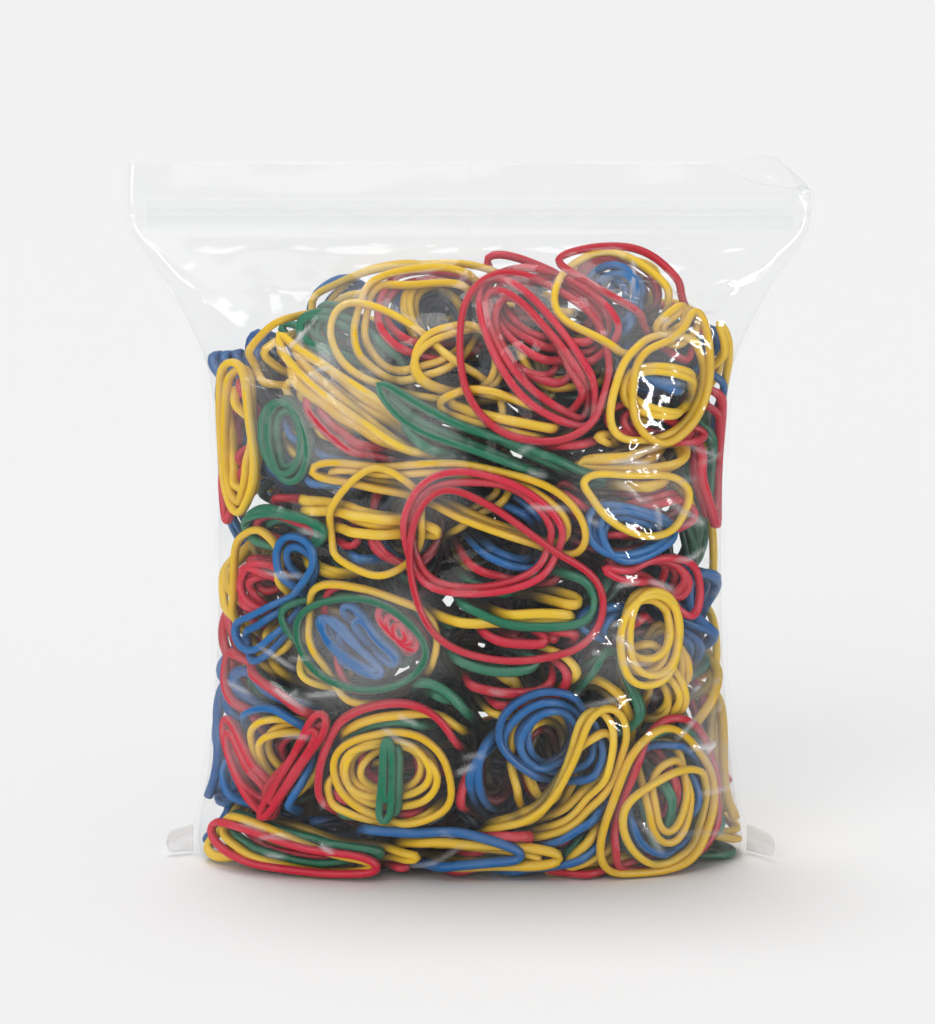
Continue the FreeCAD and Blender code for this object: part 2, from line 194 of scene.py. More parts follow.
# bands laid one by one against the front film, outermost first: a letter per strand, turns, then the way
# round each loop as x, z in mm; the strands of one entry lie side by side, each inside the last
drawnLoops = [
    # lower right
    ("y", 1, [(32.8, 26.4), (36.2, 24.7), (39.2, 20.6), (41.6, 16.2), (42.3, 11.3), (40.9, 6.2),
        (38.5, 2.4), (34.1, 1.2), (29, 1.2), (24.2, 1.8), (22.2, 3.8), (22.2, 7.9), (24.2, 14.1),
        (27.7, 22.7)]),
    ("y", 1, [(26.6, 13.4), (31.1, 16.2), (35.8, 18.2), (39.2, 17.9), (41.3, 15.5), (41.8, 11.3),
        (40.6, 7.2), (38.9, 4.5), (32.4, 2.8), (27.7, 5.2), (25.6, 9.3)]),
    ("r", 1, [(34.1, 27), (37.5, 26.6), (40.1, 23.7), (41.3, 19.9), (43, 14.1), (42.6, 7.9), (39.2, 2.8),
        (34.1, 1.4), (29, 1.4), (25.3, 2.1), (24.1, 5.2), (24.8, 10), (26.8, 14.8), (29, 21)]),
    ("gb", 1, [(38.5, 23.7), (41.3, 18.9), (43.3, 13.4), (44.3, 7.9), (41.9, 4.5), (34.1, 2.4), (29, 4.5),
        (26.6, 7.9), (26.1, 12), (27.3, 17.5), (30, 22.7), (34.1, 25.4)]),
    ("y", 1, [(38, 21.7), (38.7, 14.8), (38, 10), (35.1, 6.2), (31.7, 7.9), (30.7, 14.8), (32.4, 21),
        (35.1, 23)]),
    ("g", 2, [(33.1, 21.7), (30.7, 20.6), (29.2, 16.8), (30.2, 11.3), (31.7, 5.8), (33.8, 3.4),
        (36.2, 7.9), (35.1, 12.7), (33.8, 17.5)]),
    ("rr", 2, [(33.8, 24.4), (35.8, 20.3), (37, 14.8), (36.5, 10), (34.5, 8.3), (32.4, 9.3), (32.1, 11.3),
        (33.8, 14.8), (34.5, 19.2)]),
    ("bb", 1, [(38.9, 18.2), (39.9, 13.1), (38.9, 9.3), (36.5, 6.2), (32.8, 3.8), (29, 5.2), (27.3, 9.3),
        (28.3, 14.8), (31.7, 19.6), (35.5, 21)]),
    # along the base
    ("r", 1, [(-45, 5.7), (-41.2, 3.1), (-35.6, 1.3), (-28.7, 1.1), (-22.4, 1.3), (-15, 2.2), (-18, 4.6),
        (-28, 5.6), (-38, 8), (-43.5, 8)]),
    ("y", 1, [(-44.1, 6.9), (-41.2, 4.4), (-37.2, 2.5), (-32.5, 1.8), (-27.1, 1.5), (-20, 2), (-16, 3.6),
        (-26, 5.6), (-36, 8.6), (-42, 9.2)]),
    ("gr", 1, [(-44.4, 7.5), (-40.3, 5.3), (-37.2, 3.8), (-32, 3), (-24, 3.4), (-14, 5.4), (-22, 6.6),
        (-32, 7.6), (-41, 9.6)]),
    ("yr", 1, [(-41.2, 7.5), (-37.5, 5), (-33.4, 3.4), (-29.6, 2.8), (-20, 3.3), (-8, 4.8), (-24, 6.3),
        (-34, 8.7)]),
    ("b", 1, [(-23.7, 3.1), (-24, 5), (-22.7, 7.6), (-20.2, 9.1), (-16.2, 9.5), (-9.9, 9.1), (-3.6, 9.5),
        (1.4, 8.5), (7.5, 6.6), (10, 4.5), (0, 3.5), (-12, 2.6), (-20, 1.8)]),
    ("yyrr", 1, [(-17.7, 3.8), (-14.3, 5.7), (-9.9, 7.2), (-5.2, 7.9), (-0.5, 7.6), (6, 6.8), (12, 6.2),
        (16, 5), (12, 3.4), (4, 2.8), (-6, 2.2), (-18.3, 1.5)]),
    ("b", 1, [(2.5, 1.6), (8.6, 2.4), (12, 4.8), (16.1, 7.9), (21.5, 11.3), (26, 14.5), (27, 11),
        (22, 6.5), (14, 3), (6, 1.3)]),
    ("yg", 1, [(14.7, 1.2), (17.4, 4.5), (20.2, 7.6), (22.2, 9.3), (27, 13), (30, 9), (25, 5), (19, 2)]),
    ("ryb", 1, [(12, 2.2), (20, 1.4), (28, 2.2), (37, 3.4), (43, 4.4), (40, 6.6), (30, 5.6), (18, 4.4)]),
    # lower middle
    ("yyy", 1, [(0.4, 6.5), (6.9, 6.9), (12, 7.6), (16.8, 9.3), (20.8, 12.4), (24.2, 16.2), (26.3, 20.3),
        (26.8, 24.4), (26, 28.5), (23.6, 30.2), (20.2, 28.5), (17.4, 21.7), (12, 13.1), (3.5, 9.3)]),
    ("bbb", 1, [(5.5, 28.5), (8.3, 31.6), (12, 33.3), (16.1, 33), (19.5, 30.9), (22.2, 27.5),
        (23.2, 24.1), (21.5, 19.5), (15.5, 17), (9, 19.5), (5, 24)]),
    ("yyry", 1, [(8.6, 28.5), (13, 29.6), (17.1, 27.8), (19.8, 23.7), (20.5, 19.9), (19.5, 15.8),
        (17.1, 11.4), (12.4, 10.7), (8.7, 15.2), (7.3, 21.7)]),
    ("gg", 1, [(16.8, 30.9), (19.5, 27.8), (21.2, 24.1), (21.9, 19.9), (21.5, 16.2), (20.2, 12.4),
        (16, 8), (11, 12), (11, 22), (13, 28)]),
    ("b", 1, [(1.8, 24.1), (5.2, 25.8), (9.6, 26.3), (12.7, 24.7), (14, 21), (12, 13), (6, 9), (1, 13),
        (0, 20)]),
    ("rr", 1, [(1.1, 22), (3.5, 23.7), (6.9, 24.7), (9.6, 23.7), (10.3, 19.6), (10, 13), (4, 10),
        (-1, 15)]),
    ("yy", 1, [(1.1, 20.3), (5.2, 22), (8.6, 23.4), (12, 23.7), (14.4, 22), (14.7, 19.6), (13.7, 14.5),
        (8, 10), (1, 13.5)]),
    ("bg", 1, [(1.1, 17.9), (5.2, 18.6), (8.6, 17.9), (11.3, 15.8), (13, 11.7), (8, 7), (0, 7),
        (-4, 13)]),
    ("yr", 2, [(1.1, 15.8), (5.2, 16.5), (8.6, 15.1), (10, 11.7), (6, 8.5), (0, 9.5), (-3, 13)]),
    ("rr", 1, [(5.2, 8.3), (8.6, 10), (12.7, 11), (16.8, 11.7), (24, 15), (26, 12), (18, 7), (10, 5.5),
        (2, 6)]),
    # lower left
    ("rr", 1, [(-29.9, 22.6), (-32.8, 18), (-35, 13.9), (-36.4, 9.6), (-34.6, 10.5), (-31.5, 15.5),
        (-28.6, 20.5), (-24, 27), (-26, 29.5)]),
    ("rr", 1, [(-43, 23.5), (-41.6, 18.5), (-39, 14), (-36.5, 10.4), (-35.2, 11), (-35.8, 15.5),
        (-38.4, 20.5), (-41.6, 26.5)]),
    ("b", 1, [(-33, 29), (-29.6, 26), (-28.4, 22.1), (-29, 17.3), (-31, 13), (-34.6, 9.2), (-39, 9.6),
        (-42, 14), (-42.5, 20), (-40, 26), (-36.5, 29)]),
    ("yyr", 1, [(-32.5, 26.5), (-35, 26.2), (-37.2, 24), (-38.4, 20.8), (-38.1, 17.7), (-36.5, 14.5),
        (-33, 12.5), (-28, 15.5), (-26.5, 20), (-28, 25)]),
    ("gg", 2, [(-31.2, 23.7), (-34.3, 22.7), (-35.9, 19.6), (-35.9, 16.7), (-34, 13.5), (-30.5, 14.5),
        (-29.5, 19)]),
    ("rrr", 1, [(-42.2, 24.6), (-42.5, 20.2), (-41.2, 15.1), (-39.3, 11.3), (-37.2, 9.8), (-35, 10.5),
        (-34.5, 15), (-37.5, 22), (-40, 27)]),
    ("r", 1, [(-18.3, 30.3), (-13.6, 31.9), (-9.3, 31.9), (-5.8, 30), (-3.3, 26.5), (-1.7, 22.1),
        (-0.8, 17.7), (-0.8, 13.2), (-2.4, 9.8), (-6.7, 7.9), (-14.6, 7.2), (-20.9, 7.9), (-24.3, 8.8),
        (-25.9, 12), (-26.2, 16.4), (-25.2, 21.2), (-23.7, 25.6), (-21.2, 28.4)]),
    ("y", 1, [(-21.8, 25.9), (-18, 28.4), (-13.6, 29.5), (-8.9, 29.7), (-5.2, 29.1), (-2.7, 27.2),
        (-0.8, 24.3), (0.5, 20.5), (0.8, 16.4), (-0.2, 12.6), (-1.7, 9.8), (-6, 6.5), (-13, 5.8),
        (-20.9, 8.5), (-23.7, 10.1), (-26.2, 12), (-28.1, 14.5), (-28.4, 17), (-27.4, 20.5),
        (-25.6, 23.4)]),
    ("gg", 2, [(-14.2, 26), (-12.9, 26), (-12.4, 20), (-12.8, 13), (-13.8, 11.8), (-14.8, 13),
        (-14.6, 20)]),
    ("y", 1, [(-22.6, 20.8), (-21.2, 23.7), (-17.7, 25.6), (-13.6, 26.4), (-9.9, 26.4), (-6.7, 25),
        (-4, 21.5), (-3.3, 14.9), (-6.7, 12), (-12.4, 10.1), (-16.2, 11.3), (-19.9, 13.9),
        (-21.8, 16.7)]),
    ("yyr", 1, [(-20.2, 23.4), (-17.4, 24.3), (-13, 24.6), (-9, 23.7), (-6.7, 22.1), (-4.2, 18.6),
        (-7, 14), (-14, 12.5), (-21, 14.5), (-23, 19)]),
    ("yrg", 1, [(-24.9, 13.9), (-20.5, 12.6), (-16.8, 10.7), (-13, 10.1), (-9.3, 11), (-5.8, 12.9),
        (-2, 14.8), (-1, 20), (-8, 22), (-16, 20), (-24, 19)]),
    ("yr", 2, [(-19.6, 16.1), (-18.4, 18.3), (-16.2, 19.9), (-13, 19.8), (-10, 18), (-10.5, 14),
        (-15, 12.5)]),
    ("gg", 1, [(-22.4, 24.3), (-19.3, 26.5), (-14.3, 28), (-9.9, 27.8), (-6.4, 25.6), (-3.9, 22.1),
        (-2.7, 18.3), (-2.7, 14.5), (-3.6, 11), (-8.3, 8.5), (-16.2, 8.2), (-22.4, 10.7), (-24.3, 15.1),
        (-24.3, 20.2)]),
    ("gggg", 1, [(-8, 35.4), (-4.2, 33.8), (-1.7, 31.9), (0.2, 29.1), (1.6, 25.3), (2, 20), (-3, 17),
        (-8, 22), (-12, 30)]),
    # the middle, left
    ("r", 1, [(-8.9, 47.3), (-9.8, 51), (-10.1, 55.3), (-9.2, 61), (-7.5, 64.4), (-4.1, 66.9),
        (-0.2, 65.9), (4.5, 63.9), (8.7, 61), (12.5, 58.1), (15.1, 55.9), (17.6, 54.6), (21.1, 52),
        (22.5, 48.5), (22.1, 44.6), (20.2, 42), (17.6, 40.1), (8, 38.5), (-0.5, 39.6), (-4.6, 41.3),
        (-7.4, 43.6)]),
    ("rr", 1, [(-11.2, 59.3), (-10.9, 63.8), (-8.7, 67.5), (-5.5, 68.9), (-1.8, 69.4), (3, 68.8),
        (7.7, 67.5), (11.9, 64.9), (15.1, 61.7), (16.3, 57.8), (12, 52), (2, 50), (-8, 52)]),
    ("g", 1, [(-29.4, 44.3), (-27.1, 46.9), (-23.8, 48), (-19.8, 48.4), (-15.9, 47.9), (-12, 46.4),
        (-9, 44.2), (-7, 41.4), (-7.4, 38.6), (-10, 36), (-13.5, 34.2), (-19, 33.4), (-25, 35.2),
        (-28.5, 39)]),
    ("bbb", 1, [(-25.6, 46.2), (-25.4, 43), (-23.2, 39.6), (-19.6, 37), (-15.6, 35.6), (-13.2, 36.2),
        (-15.8, 38.6), (-19.6, 41.4), (-22.6, 45.2)]),
    ("bb", 1, [(-21.6, 47.4), (-21.4, 44.2), (-19, 40.6), (-15, 37.8), (-11.4, 37.2), (-12.6, 39.6),
        (-15.6, 42.4), (-18, 46.4)]),
    ("rr", 1, [(-15.6, 47), (-15.2, 44.2), (-13, 41.4), (-9.8, 39.8), (-8.8, 41), (-10.6, 43.4),
        (-12.4, 46.2)]),
    ("yr", 1, [(-27.9, 48.1), (-27, 49.9), (-24.8, 51), (-21.1, 51), (-17.4, 50.1), (-13.5, 48.7),
        (-9.8, 47.3), (-6, 44), (-6, 38), (-10, 33), (-15, 30.5), (-18.3, 31), (-20.8, 31.9),
        (-24.2, 35.6), (-26.7, 40.4), (-28.1, 44.4)]),
    ("g", 1, [(-31.8, 45.3), (-28.1, 47.3), (-24.8, 48.4), (-20.8, 49), (-16.9, 48.4), (-12.6, 47.3),
        (-9.8, 45.6), (-7.5, 43), (-7.2, 40.4), (-8.7, 37.6), (-11.2, 35.3), (-14, 33), (-20, 32),
        (-26, 34), (-28.5, 39)]),
    ("b", 1, [(-29.3, 58.1), (-31.8, 57), (-32.7, 54.1), (-31.8, 50.7), (-29.6, 48), (-31, 44),
        (-33.8, 41), (-36.9, 38.4), (-39.5, 39), (-40.3, 42), (-38, 43.5), (-33.5, 46.5), (-29, 49.5),
        (-26.6, 52.5), (-25.6, 55), (-26.9, 57.4)]),
    ("b", 1, [(-29, 57.2), (-31, 56), (-31.7, 53.5), (-30.8, 50.7), (-29.6, 46.5), (-32.5, 42),
        (-36, 37.4), (-38.4, 37.7), (-39.5, 40.8), (-36, 43), (-31.5, 47.5), (-27.6, 51), (-26.6, 54.2)]),
    ("y", 1, [(-35.5, 59), (-38.6, 57.5), (-40, 55.3), (-40.3, 51), (-40.6, 46.7), (-41.1, 42.4),
        (-39.7, 39.3), (-36.6, 37.9), (-33, 40), (-33, 48), (-33, 56)]),
    ("rrr", 2, [(-37.2, 53.3), (-34.4, 52.7), (-32.7, 50.1), (-34.1, 46.7), (-35.5, 44.1), (-37.5, 43.6),
        (-39.5, 46.7), (-40.3, 49.6), (-38.9, 52.4)]),
    ("yy", 2, [(-36.3, 51.5), (-35.2, 51.5), (-34.8, 44), (-35.4, 37), (-36.6, 37), (-36.9, 44)]),
    ("ybb", 1, [(-32.7, 43.9), (-32.7, 41), (-31.5, 37.6), (-29.3, 34.2), (-24, 31), (-19, 34), (-20, 42),
        (-27, 46.5)]),
    ("rrg", 2, [(-15.7, 45.3), (-15.4, 42.4), (-14, 40.4), (-11.2, 38.7), (-9, 39.5), (-9, 43),
        (-12, 46)]),
    ("grg", 1, [(-39.7, 58.1), (-38.6, 60.4), (-36.6, 62.4), (-33.8, 63.2), (-31, 62.9), (-24, 61),
        (-26, 57), (-34, 55)]),
    ("y", 1, [(-15.4, 69.8), (-19.1, 68.4), (-21.7, 66.4), (-23.6, 63.8), (-24.5, 61), (-24.2, 58.1),
        (-22.8, 55.8), (-20.2, 54.1), (-15, 52.5), (-10, 55), (-8, 61), (-10, 67)]),
    ("yyy", 1, [(-27.6, 68.7), (-25.3, 70.9), (-21.1, 70.9), (-16.9, 69.8), (-12.6, 70.1), (-6, 71),
        (0, 70.8), (6.2, 69.7), (10.9, 68.4), (15, 65.9), (18.2, 62.3), (19.5, 59.1), (19.2, 54.6),
        (14, 56), (0, 61), (-14, 66)]),
    ("yy", 1, [(-30.8, 62.6), (-24, 62.5), (-17, 62), (-6, 60), (-6, 58.5), (-20, 60), (-30.8, 60.8)]),
    ("rr", 1, [(-36.6, 63.8), (-33.8, 64.7), (-30.4, 64.4), (-27, 63.2), (-22, 61), (-20, 57), (-28, 58),
        (-35, 60)]),
    ("rb", 1, [(-17.4, 67.8), (-18.3, 64.3), (-18.5, 61), (-17.7, 57.6), (-15.4, 54.5), (-13.2, 52.4),
        (-8, 53), (-5, 60), (-9, 66), (-13, 68.5)]),
    ("yy", 1, [(-16.6, 61.5), (-15.2, 63.8), (-12.6, 65.8), (-8.4, 68.1), (-4.1, 69.5), (4, 69), (8, 66),
        (0, 61), (-8, 56), (-14, 55.5), (-16.4, 58)]),
    ("bbb", 1, [(-32.4, 60.1), (-28, 59.3), (-23, 58.8), (-14, 57), (-12, 54), (-26, 56), (-34, 58)]),
    ("gb", 1, [(-20.8, 59.5), (-19.7, 57.5), (-18, 55.3), (-15.4, 51.8), (-9, 50), (-7, 56), (-12, 62),
        (-18, 63)]),
    ("y", 1, [(-35.2, 59.5), (-32.7, 58.7), (-29.3, 58.1), (-20, 55), (-19, 51), (-30, 53), (-37, 56.5)]),
    ("ggg", 1, [(-36.3, 57), (-32.4, 57.2), (-27, 55), (-22, 51), (-26, 49), (-37, 53.5)]),
    ("rr", 2, [(-12.6, 59.3), (-12.6, 55.3), (-14, 51), (-11, 48), (-7, 50), (-8, 58)]),
    # the middle, right
    ("bb", 1, [(-6.6, 67.8), (-1.8, 68.4), (3, 67.1), (7.1, 65.2), (11.2, 62.6), (14.1, 59.4),
        (15.4, 57.2), (12, 53), (4, 55), (-4, 60), (-8, 64)]),
    ("y", 1, [(18.2, 68.1), (20.5, 65.5), (22.7, 62.6), (25.2, 60.4), (28.4, 58.5), (31.6, 58.1),
        (34.8, 59.1), (36.4, 61.7), (37.3, 64.6), (34, 67.5), (27, 68.5), (21, 69.5)]),
    ("rr", 1, [(-6.6, 66.2), (-3.4, 66.8), (-0.2, 64.6), (3.9, 63), (8, 61.7), (11.2, 59.1), (13.1, 57.2),
        (10, 52), (0, 54), (-6, 60)]),
    ("g", 1, [(-8, 51.5), (-6.6, 50.1), (-1.8, 47.8), (3, 45.6), (6.8, 44.3), (12.5, 44), (17.6, 44.3),
        (20.2, 45.6), (21.4, 47.8), (20.5, 50.7), (17.6, 53), (14.4, 53), (11.2, 51.4), (7, 49),
        (0, 51)]),
    ("g", 1, [(-1.8, 66.8), (3, 64.6), (7.7, 63.6), (11.2, 61), (13.8, 58.5), (10, 54), (2, 56),
        (-4, 61)]),
    ("r", 1, [(-6.6, 59.1), (-4.7, 61), (-1.8, 61.4), (3, 60.7), (7.1, 58.5), (11.2, 57.2), (15.1, 55.9),
        (18, 52), (10, 50), (0, 51), (-6, 54)]),
    ("b", 1, [(-6.6, 57.2), (-4.7, 59.4), (-0.2, 59.7), (3.9, 58.1), (7.1, 56.2), (8.7, 53), (7, 48),
        (-4, 48), (-7.8, 53)]),
    ("y", 1, [(5.5, 49), (12, 48.9), (18.5, 48.4), (19.5, 47.3), (13, 47.6), (0, 48.6), (-14, 50),
        (-15, 52), (-4, 51)]),
    ("y", 1, [(3.6, 46), (10, 46.3), (17.9, 46.2), (18.5, 45.2), (10, 44.9), (0, 45), (-12, 47),
        (-14, 49), (-4, 47.6)]),
    ("y", 2, [(-6.6, 55.2), (-4.1, 53.3), (-0.2, 52.3), (3.6, 53), (6.8, 54.9), (7, 57), (2, 58.5),
        (-5, 57.5)]),
    ("y", 1, [(-9, 55.5), (-6.6, 52.6), (-2.8, 51), (1.4, 49.8), (4.5, 49.1), (10, 48), (18, 49.5),
        (14, 53), (4, 54), (-6, 57.5)]),
    ("rrr", 1, [(-9, 51), (-6.6, 48.1), (-3.4, 46.2), (0.4, 44.3), (6, 42), (14, 41.5), (8, 45.5),
        (0, 50.5)]),
    ("gg", 1, [(-10, 46.5), (-6.6, 44.6), (-2.8, 43.6), (1.4, 43), (4.2, 41.1), (12, 38), (4, 37),
        (-4, 39.5), (-12, 43.5)]),
    ("yrr", 1, [(-6.6, 37.8), (-4.1, 40.1), (-0.2, 40.6), (6.1, 40.4), (12.5, 40.4), (16.3, 39.4),
        (18.6, 36.9), (18.9, 33.3), (14, 29.5), (4, 30), (-4, 33)]),
    ("yrr", 1, [(-4.1, 37.5), (-0.2, 37.8), (4.5, 36.9), (8.7, 34.6), (10.6, 32.7), (9, 28), (-2, 28),
        (-8, 33)]),
    ("ry", 2, [(8.7, 41.4), (11.2, 43), (15.1, 43.3), (18.2, 41.7), (17, 38.5), (12, 37), (8, 39)]),
    ("yy", 2, [(-0.2, 33), (3, 33.7), (7.7, 32), (11, 29), (5, 27), (-2, 29.5)]),
    ("yy", 1, [(25.6, 42), (26.2, 45.6), (27.8, 48.8), (30.7, 50.4), (33.5, 49.4), (35.8, 46.2),
        (36.4, 43), (36.2, 38.8), (34, 34), (28, 34), (25.8, 38)]),
    ("g", 1, [(19.5, 33.7), (20.5, 37.5), (22.7, 40.1), (25.6, 40.4), (27.8, 38.8), (28.7, 35.6),
        (29.4, 32.4), (30, 26), (23, 23), (18.5, 28)]),
    ("bb", 1, [(20.5, 60.4), (21.1, 57.2), (23, 54.9), (25.9, 53.9), (29.1, 54.3), (31.6, 55.6), (37, 59),
        (30, 63), (23, 64)]),
    ("yyg", 1, [(21.7, 36.6), (24.6, 34.3), (26.8, 31.7), (28.4, 28.5), (29.8, 25.2), (31, 20), (27, 18),
        (22, 24), (19.5, 31)]),
    ("yy", 1, [(29.1, 38.8), (31.6, 39.9), (34.2, 38.5), (35.8, 34.9), (36.9, 30.8), (38, 24), (33, 22),
        (29, 29), (27.6, 35)]),
    ("y", 1, [(35.8, 43), (37, 38.2), (37.8, 33.3), (39, 26), (36, 24), (33, 31), (33, 38), (34, 43.5)]),
    ("rrr", 1, [(15.1, 66.5), (18.9, 63.9), (22.7, 62.3), (26.8, 62), (31.6, 63.3), (35.8, 64.3),
        (39, 61), (33, 57), (24, 56), (16, 60)]),
    ("rr", 1, [(28.4, 39.8), (29.7, 36.6), (31.6, 32.4), (36, 28), (39.5, 32), (37, 40), (32, 44)]),
    ("rrr", 1, [(22, 54), (27, 53), (33, 55), (38, 53), (39, 47), (37, 44), (33, 50), (26, 51.5)]),
    ("bg", 1, [(29.7, 32), (32.3, 32), (35.1, 30.1), (39, 25), (36, 20), (30, 22), (27.5, 28.5)]),
    ("bb", 1, [(24, 47), (30, 46), (34, 43), (33, 39), (26, 40), (19, 44)]),
    # top right
    ("y", 1, [(33.3, 90), (30.4, 89), (28.1, 86.7), (27.2, 82.8), (26.8, 79.5), (27.8, 76.5),
        (30.1, 74.6), (33, 73.9), (36.2, 75.6), (38.8, 78.2), (40.5, 82.1), (40.8, 85.4), (40.3, 90),
        (39.4, 93.6), (37.6, 95.8), (36.4, 92.5)]),
    ("y", 1, [(31.7, 91.3), (28.5, 90), (25.9, 87.4), (24.6, 84.1), (23.6, 80.1), (23.6, 77.2),
        (24.9, 74.9), (27.5, 73.9), (33, 74), (38.6, 78), (40.5, 84), (37.5, 90.5)]),
    ("y", 2, [(35.2, 96.6), (32.9, 94.6), (32.4, 91.3), (34.9, 89.4), (37.9, 90.6), (39.6, 93.5),
        (37.6, 96.4)]),
    ("r", 1, [(13.6, 103), (18.4, 104.6), (22, 105), (25.9, 104.8), (29.1, 104), (32.4, 102.2),
        (35.6, 99.7), (37.9, 97), (40, 92), (38.8, 86.4), (34, 90), (31.1, 92.9), (27.8, 95.2),
        (24.3, 96.8), (20, 99.1), (16.8, 101.1)]),
    ("y", 1, [(16.8, 101.1), (14.9, 99.1), (14.2, 96.2), (15.2, 93.9), (17.4, 92.3), (20.7, 91),
        (24.3, 89.6), (26.5, 88.7), (32, 89), (35.5, 94), (34, 98.5), (31.7, 100.8), (26.9, 103.6),
        (23.3, 104.2), (19.4, 103.2)]),
    ("r", 1, [(1.6, 99.5), (-0.4, 97.2), (-1.4, 93.2), (-1.5, 88.7), (-0.7, 83.4), (1.6, 79.5),
        (5.1, 76.2), (9.7, 74.6), (14.5, 74.1), (18.7, 75.6), (21.7, 78.8), (23.3, 83.4), (23.6, 87.4),
        (22.6, 92), (18, 97), (10, 101), (5, 101.5)]),
    ("rrr", 1, [(1.6, 97.5), (2.2, 92.9), (3.8, 88.7), (6.4, 84.7), (9.7, 81.1), (13.6, 78.8),
        (17.8, 77.5), (20.7, 76.9), (22.4, 82), (18, 90), (10, 98), (4, 100)]),
    ("rrrrr", 1, [(3.2, 97.5), (4.2, 93.9), (6.4, 90.6), (9.7, 88.7), (13.6, 87.4), (17.8, 87), (22, 87),
        (26, 91), (21, 98), (12, 101.5), (6, 100.5)]),
    ("bbb", 2, [(24.9, 102.7), (23.3, 100.8), (22.6, 97.8), (22.3, 94.2), (23.3, 91.9), (24.9, 90.3),
        (28, 90), (30, 95), (28.5, 101)]),
    ("rr", 1, [(19, 103.5), (26, 103.2), (32, 100.2), (36, 96), (34, 92), (28, 92.5), (22, 96)]),
    ("y", 1, [(29.4, 86.4), (33, 86), (35.6, 85.7), (37.9, 85.1), (42, 80), (36, 76.5), (28, 79),
        (26, 84)]),
    ("bbb", 1, [(28.1, 85.4), (30.4, 83.4), (33, 82.1), (36.6, 81.5), (39.5, 82.1), (43, 86), (38, 90),
        (29, 90)]),
    ("rr", 1, [(28.5, 79.8), (30.7, 80.5), (32.4, 79.5), (36, 77), (41, 74.5), (36, 73), (26, 75.5),
        (24, 79)]),
    ("yy", 1, [(8.7, 88.7), (10.6, 86), (12.9, 83.8), (16.1, 82.4), (19.4, 82.8), (22, 83.3), (29, 87),
        (24, 93), (14, 95), (8, 93)]),
    ("yy", 1, [(8.7, 98.2), (9.7, 94.2), (12, 88), (15, 80), (16.5, 80.5), (12.5, 92), (11.2, 98.8)]),
    ("gg", 2, [(12.3, 90), (11.6, 93.6), (12.6, 96.2), (14.9, 97.5), (17.8, 95.2), (19, 90), (15, 87)]),
    ("gg", 1, [(14.2, 82.4), (17.4, 81.1), (21.3, 81.1), (28, 84), (22, 91), (12, 90)]),
    ("ggg", 1, [(-16, 84), (-9, 80.5), (-2.7, 77.5), (1.6, 76.2), (6.4, 74.9), (10.3, 72.9), (13.6, 72),
        (17.4, 70), (21.3, 68.7), (26, 67), (20, 66.5), (10, 69.5), (0, 73), (-10, 77)]),
    ("yyyyy", 2, [(16.8, 71.3), (22.6, 71.6), (27.5, 72), (32.4, 72.6), (35.6, 73.9), (38.5, 74.3),
        (39.6, 71.5), (35.6, 69.3), (32.4, 68.4), (25.9, 69), (19, 69.5)]),
    ("rr", 1, [(14, 73.5), (22, 74.3), (30, 73.5), (38, 71), (36, 66), (24, 65.5), (14, 69.5)]),
    ("bb", 1, [(23.3, 73.9), (27.5, 72.6), (31.7, 72.6), (38, 75), (36, 79), (27, 79), (19, 76)]),
    ("rrg", 1, [(40.1, 77.2), (40.1, 72.3), (39.2, 67.4), (41, 61), (42.5, 58), (43, 70), (42.5, 82)]),
    ("yb", 1, [(41.4, 93.2), (42.5, 90), (42.9, 86), (42.2, 80.5), (41, 76), (43, 70), (43.6, 80),
        (43.6, 90)]),
    ("yy", 1, [(-3.3, 82.1), (1.6, 82.4), (5.8, 81.8), (9.7, 80.5), (12.9, 79.2), (20, 77), (18, 74.5),
        (8, 76), (-6, 79)]),
    # top left
    ("y", 1, [(-2.5, 92.4), (-6.3, 92.4), (-8.9, 90.6), (-10.4, 88.3), (-10.1, 85.3), (-8.3, 83.2),
        (-5.4, 81.7), (-1.6, 81.5), (5, 83), (6, 90), (1, 93.5)]),
    ("yyy", 1, [(-32.6, 92.4), (-30.3, 90), (-26.8, 88), (-23.2, 85.9), (-19.4, 83.2), (-16.5, 81.5),
        (-13.6, 79.1), (-9.8, 76.4), (-6.3, 74.6), (1, 72), (-6, 71.5), (-12, 73.5), (-18, 77.5),
        (-25, 82.5), (-31, 88)]),
    ("y", 1, [(-20, 95.9), (-22.7, 94.8), (-24.1, 92.7), (-23.8, 89.7), (-22.1, 87.1), (-19.4, 85.3),
        (-16.5, 83.8), (-12.1, 82), (-7.8, 81.2), (-3.4, 80), (1.3, 78.2), (6, 76.5), (5, 82), (-4, 88),
        (-12, 93.5)]),
    ("yy", 1, [(-19.2, 92.4), (-18.9, 95.4), (-18, 98.3), (-15.9, 100.2), (-12.7, 101), (-7.8, 101.4),
        (-3.4, 101.3), (0.4, 99.8), (3, 94), (-2, 87), (-8, 84.5), (-14, 83), (-17.4, 85.3),
        (-19, 88.7)]),
    ("rr", 1, [(-12.4, 100), (-15.4, 98), (-16.2, 95.7), (-15.6, 93.3), (-13.9, 90.9), (-11.5, 89.1),
        (-6, 87), (2, 88), (4, 95), (-3, 100)]),
    ("yy", 1, [(-12.7, 97.6), (-11.3, 99.2), (-8.3, 100.2), (-4.8, 99.8), (-1.9, 99), (3, 96), (3, 90),
        (-3, 86), (-8, 87), (-10.4, 90.9), (-12.1, 93.9)]),
    ("bb", 1, [(-13.6, 91.8), (-13.6, 94.2), (-12.4, 96.5), (-10.1, 98.3), (-6.9, 98.9), (-3.4, 98.3),
        (2, 95), (2, 88), (-5, 84.5), (-11, 87)]),
    ("bb", 2, [(-9.8, 92.1), (-8.9, 94.2), (-6.6, 95.7), (-3.4, 95.9), (1, 94), (1, 89), (-6, 87.5)]),
    ("bbb", 1, [(-8.9, 86.2), (-5.7, 84.7), (-1.9, 83.5), (1.3, 83.8), (8, 86), (8, 92), (-4, 91),
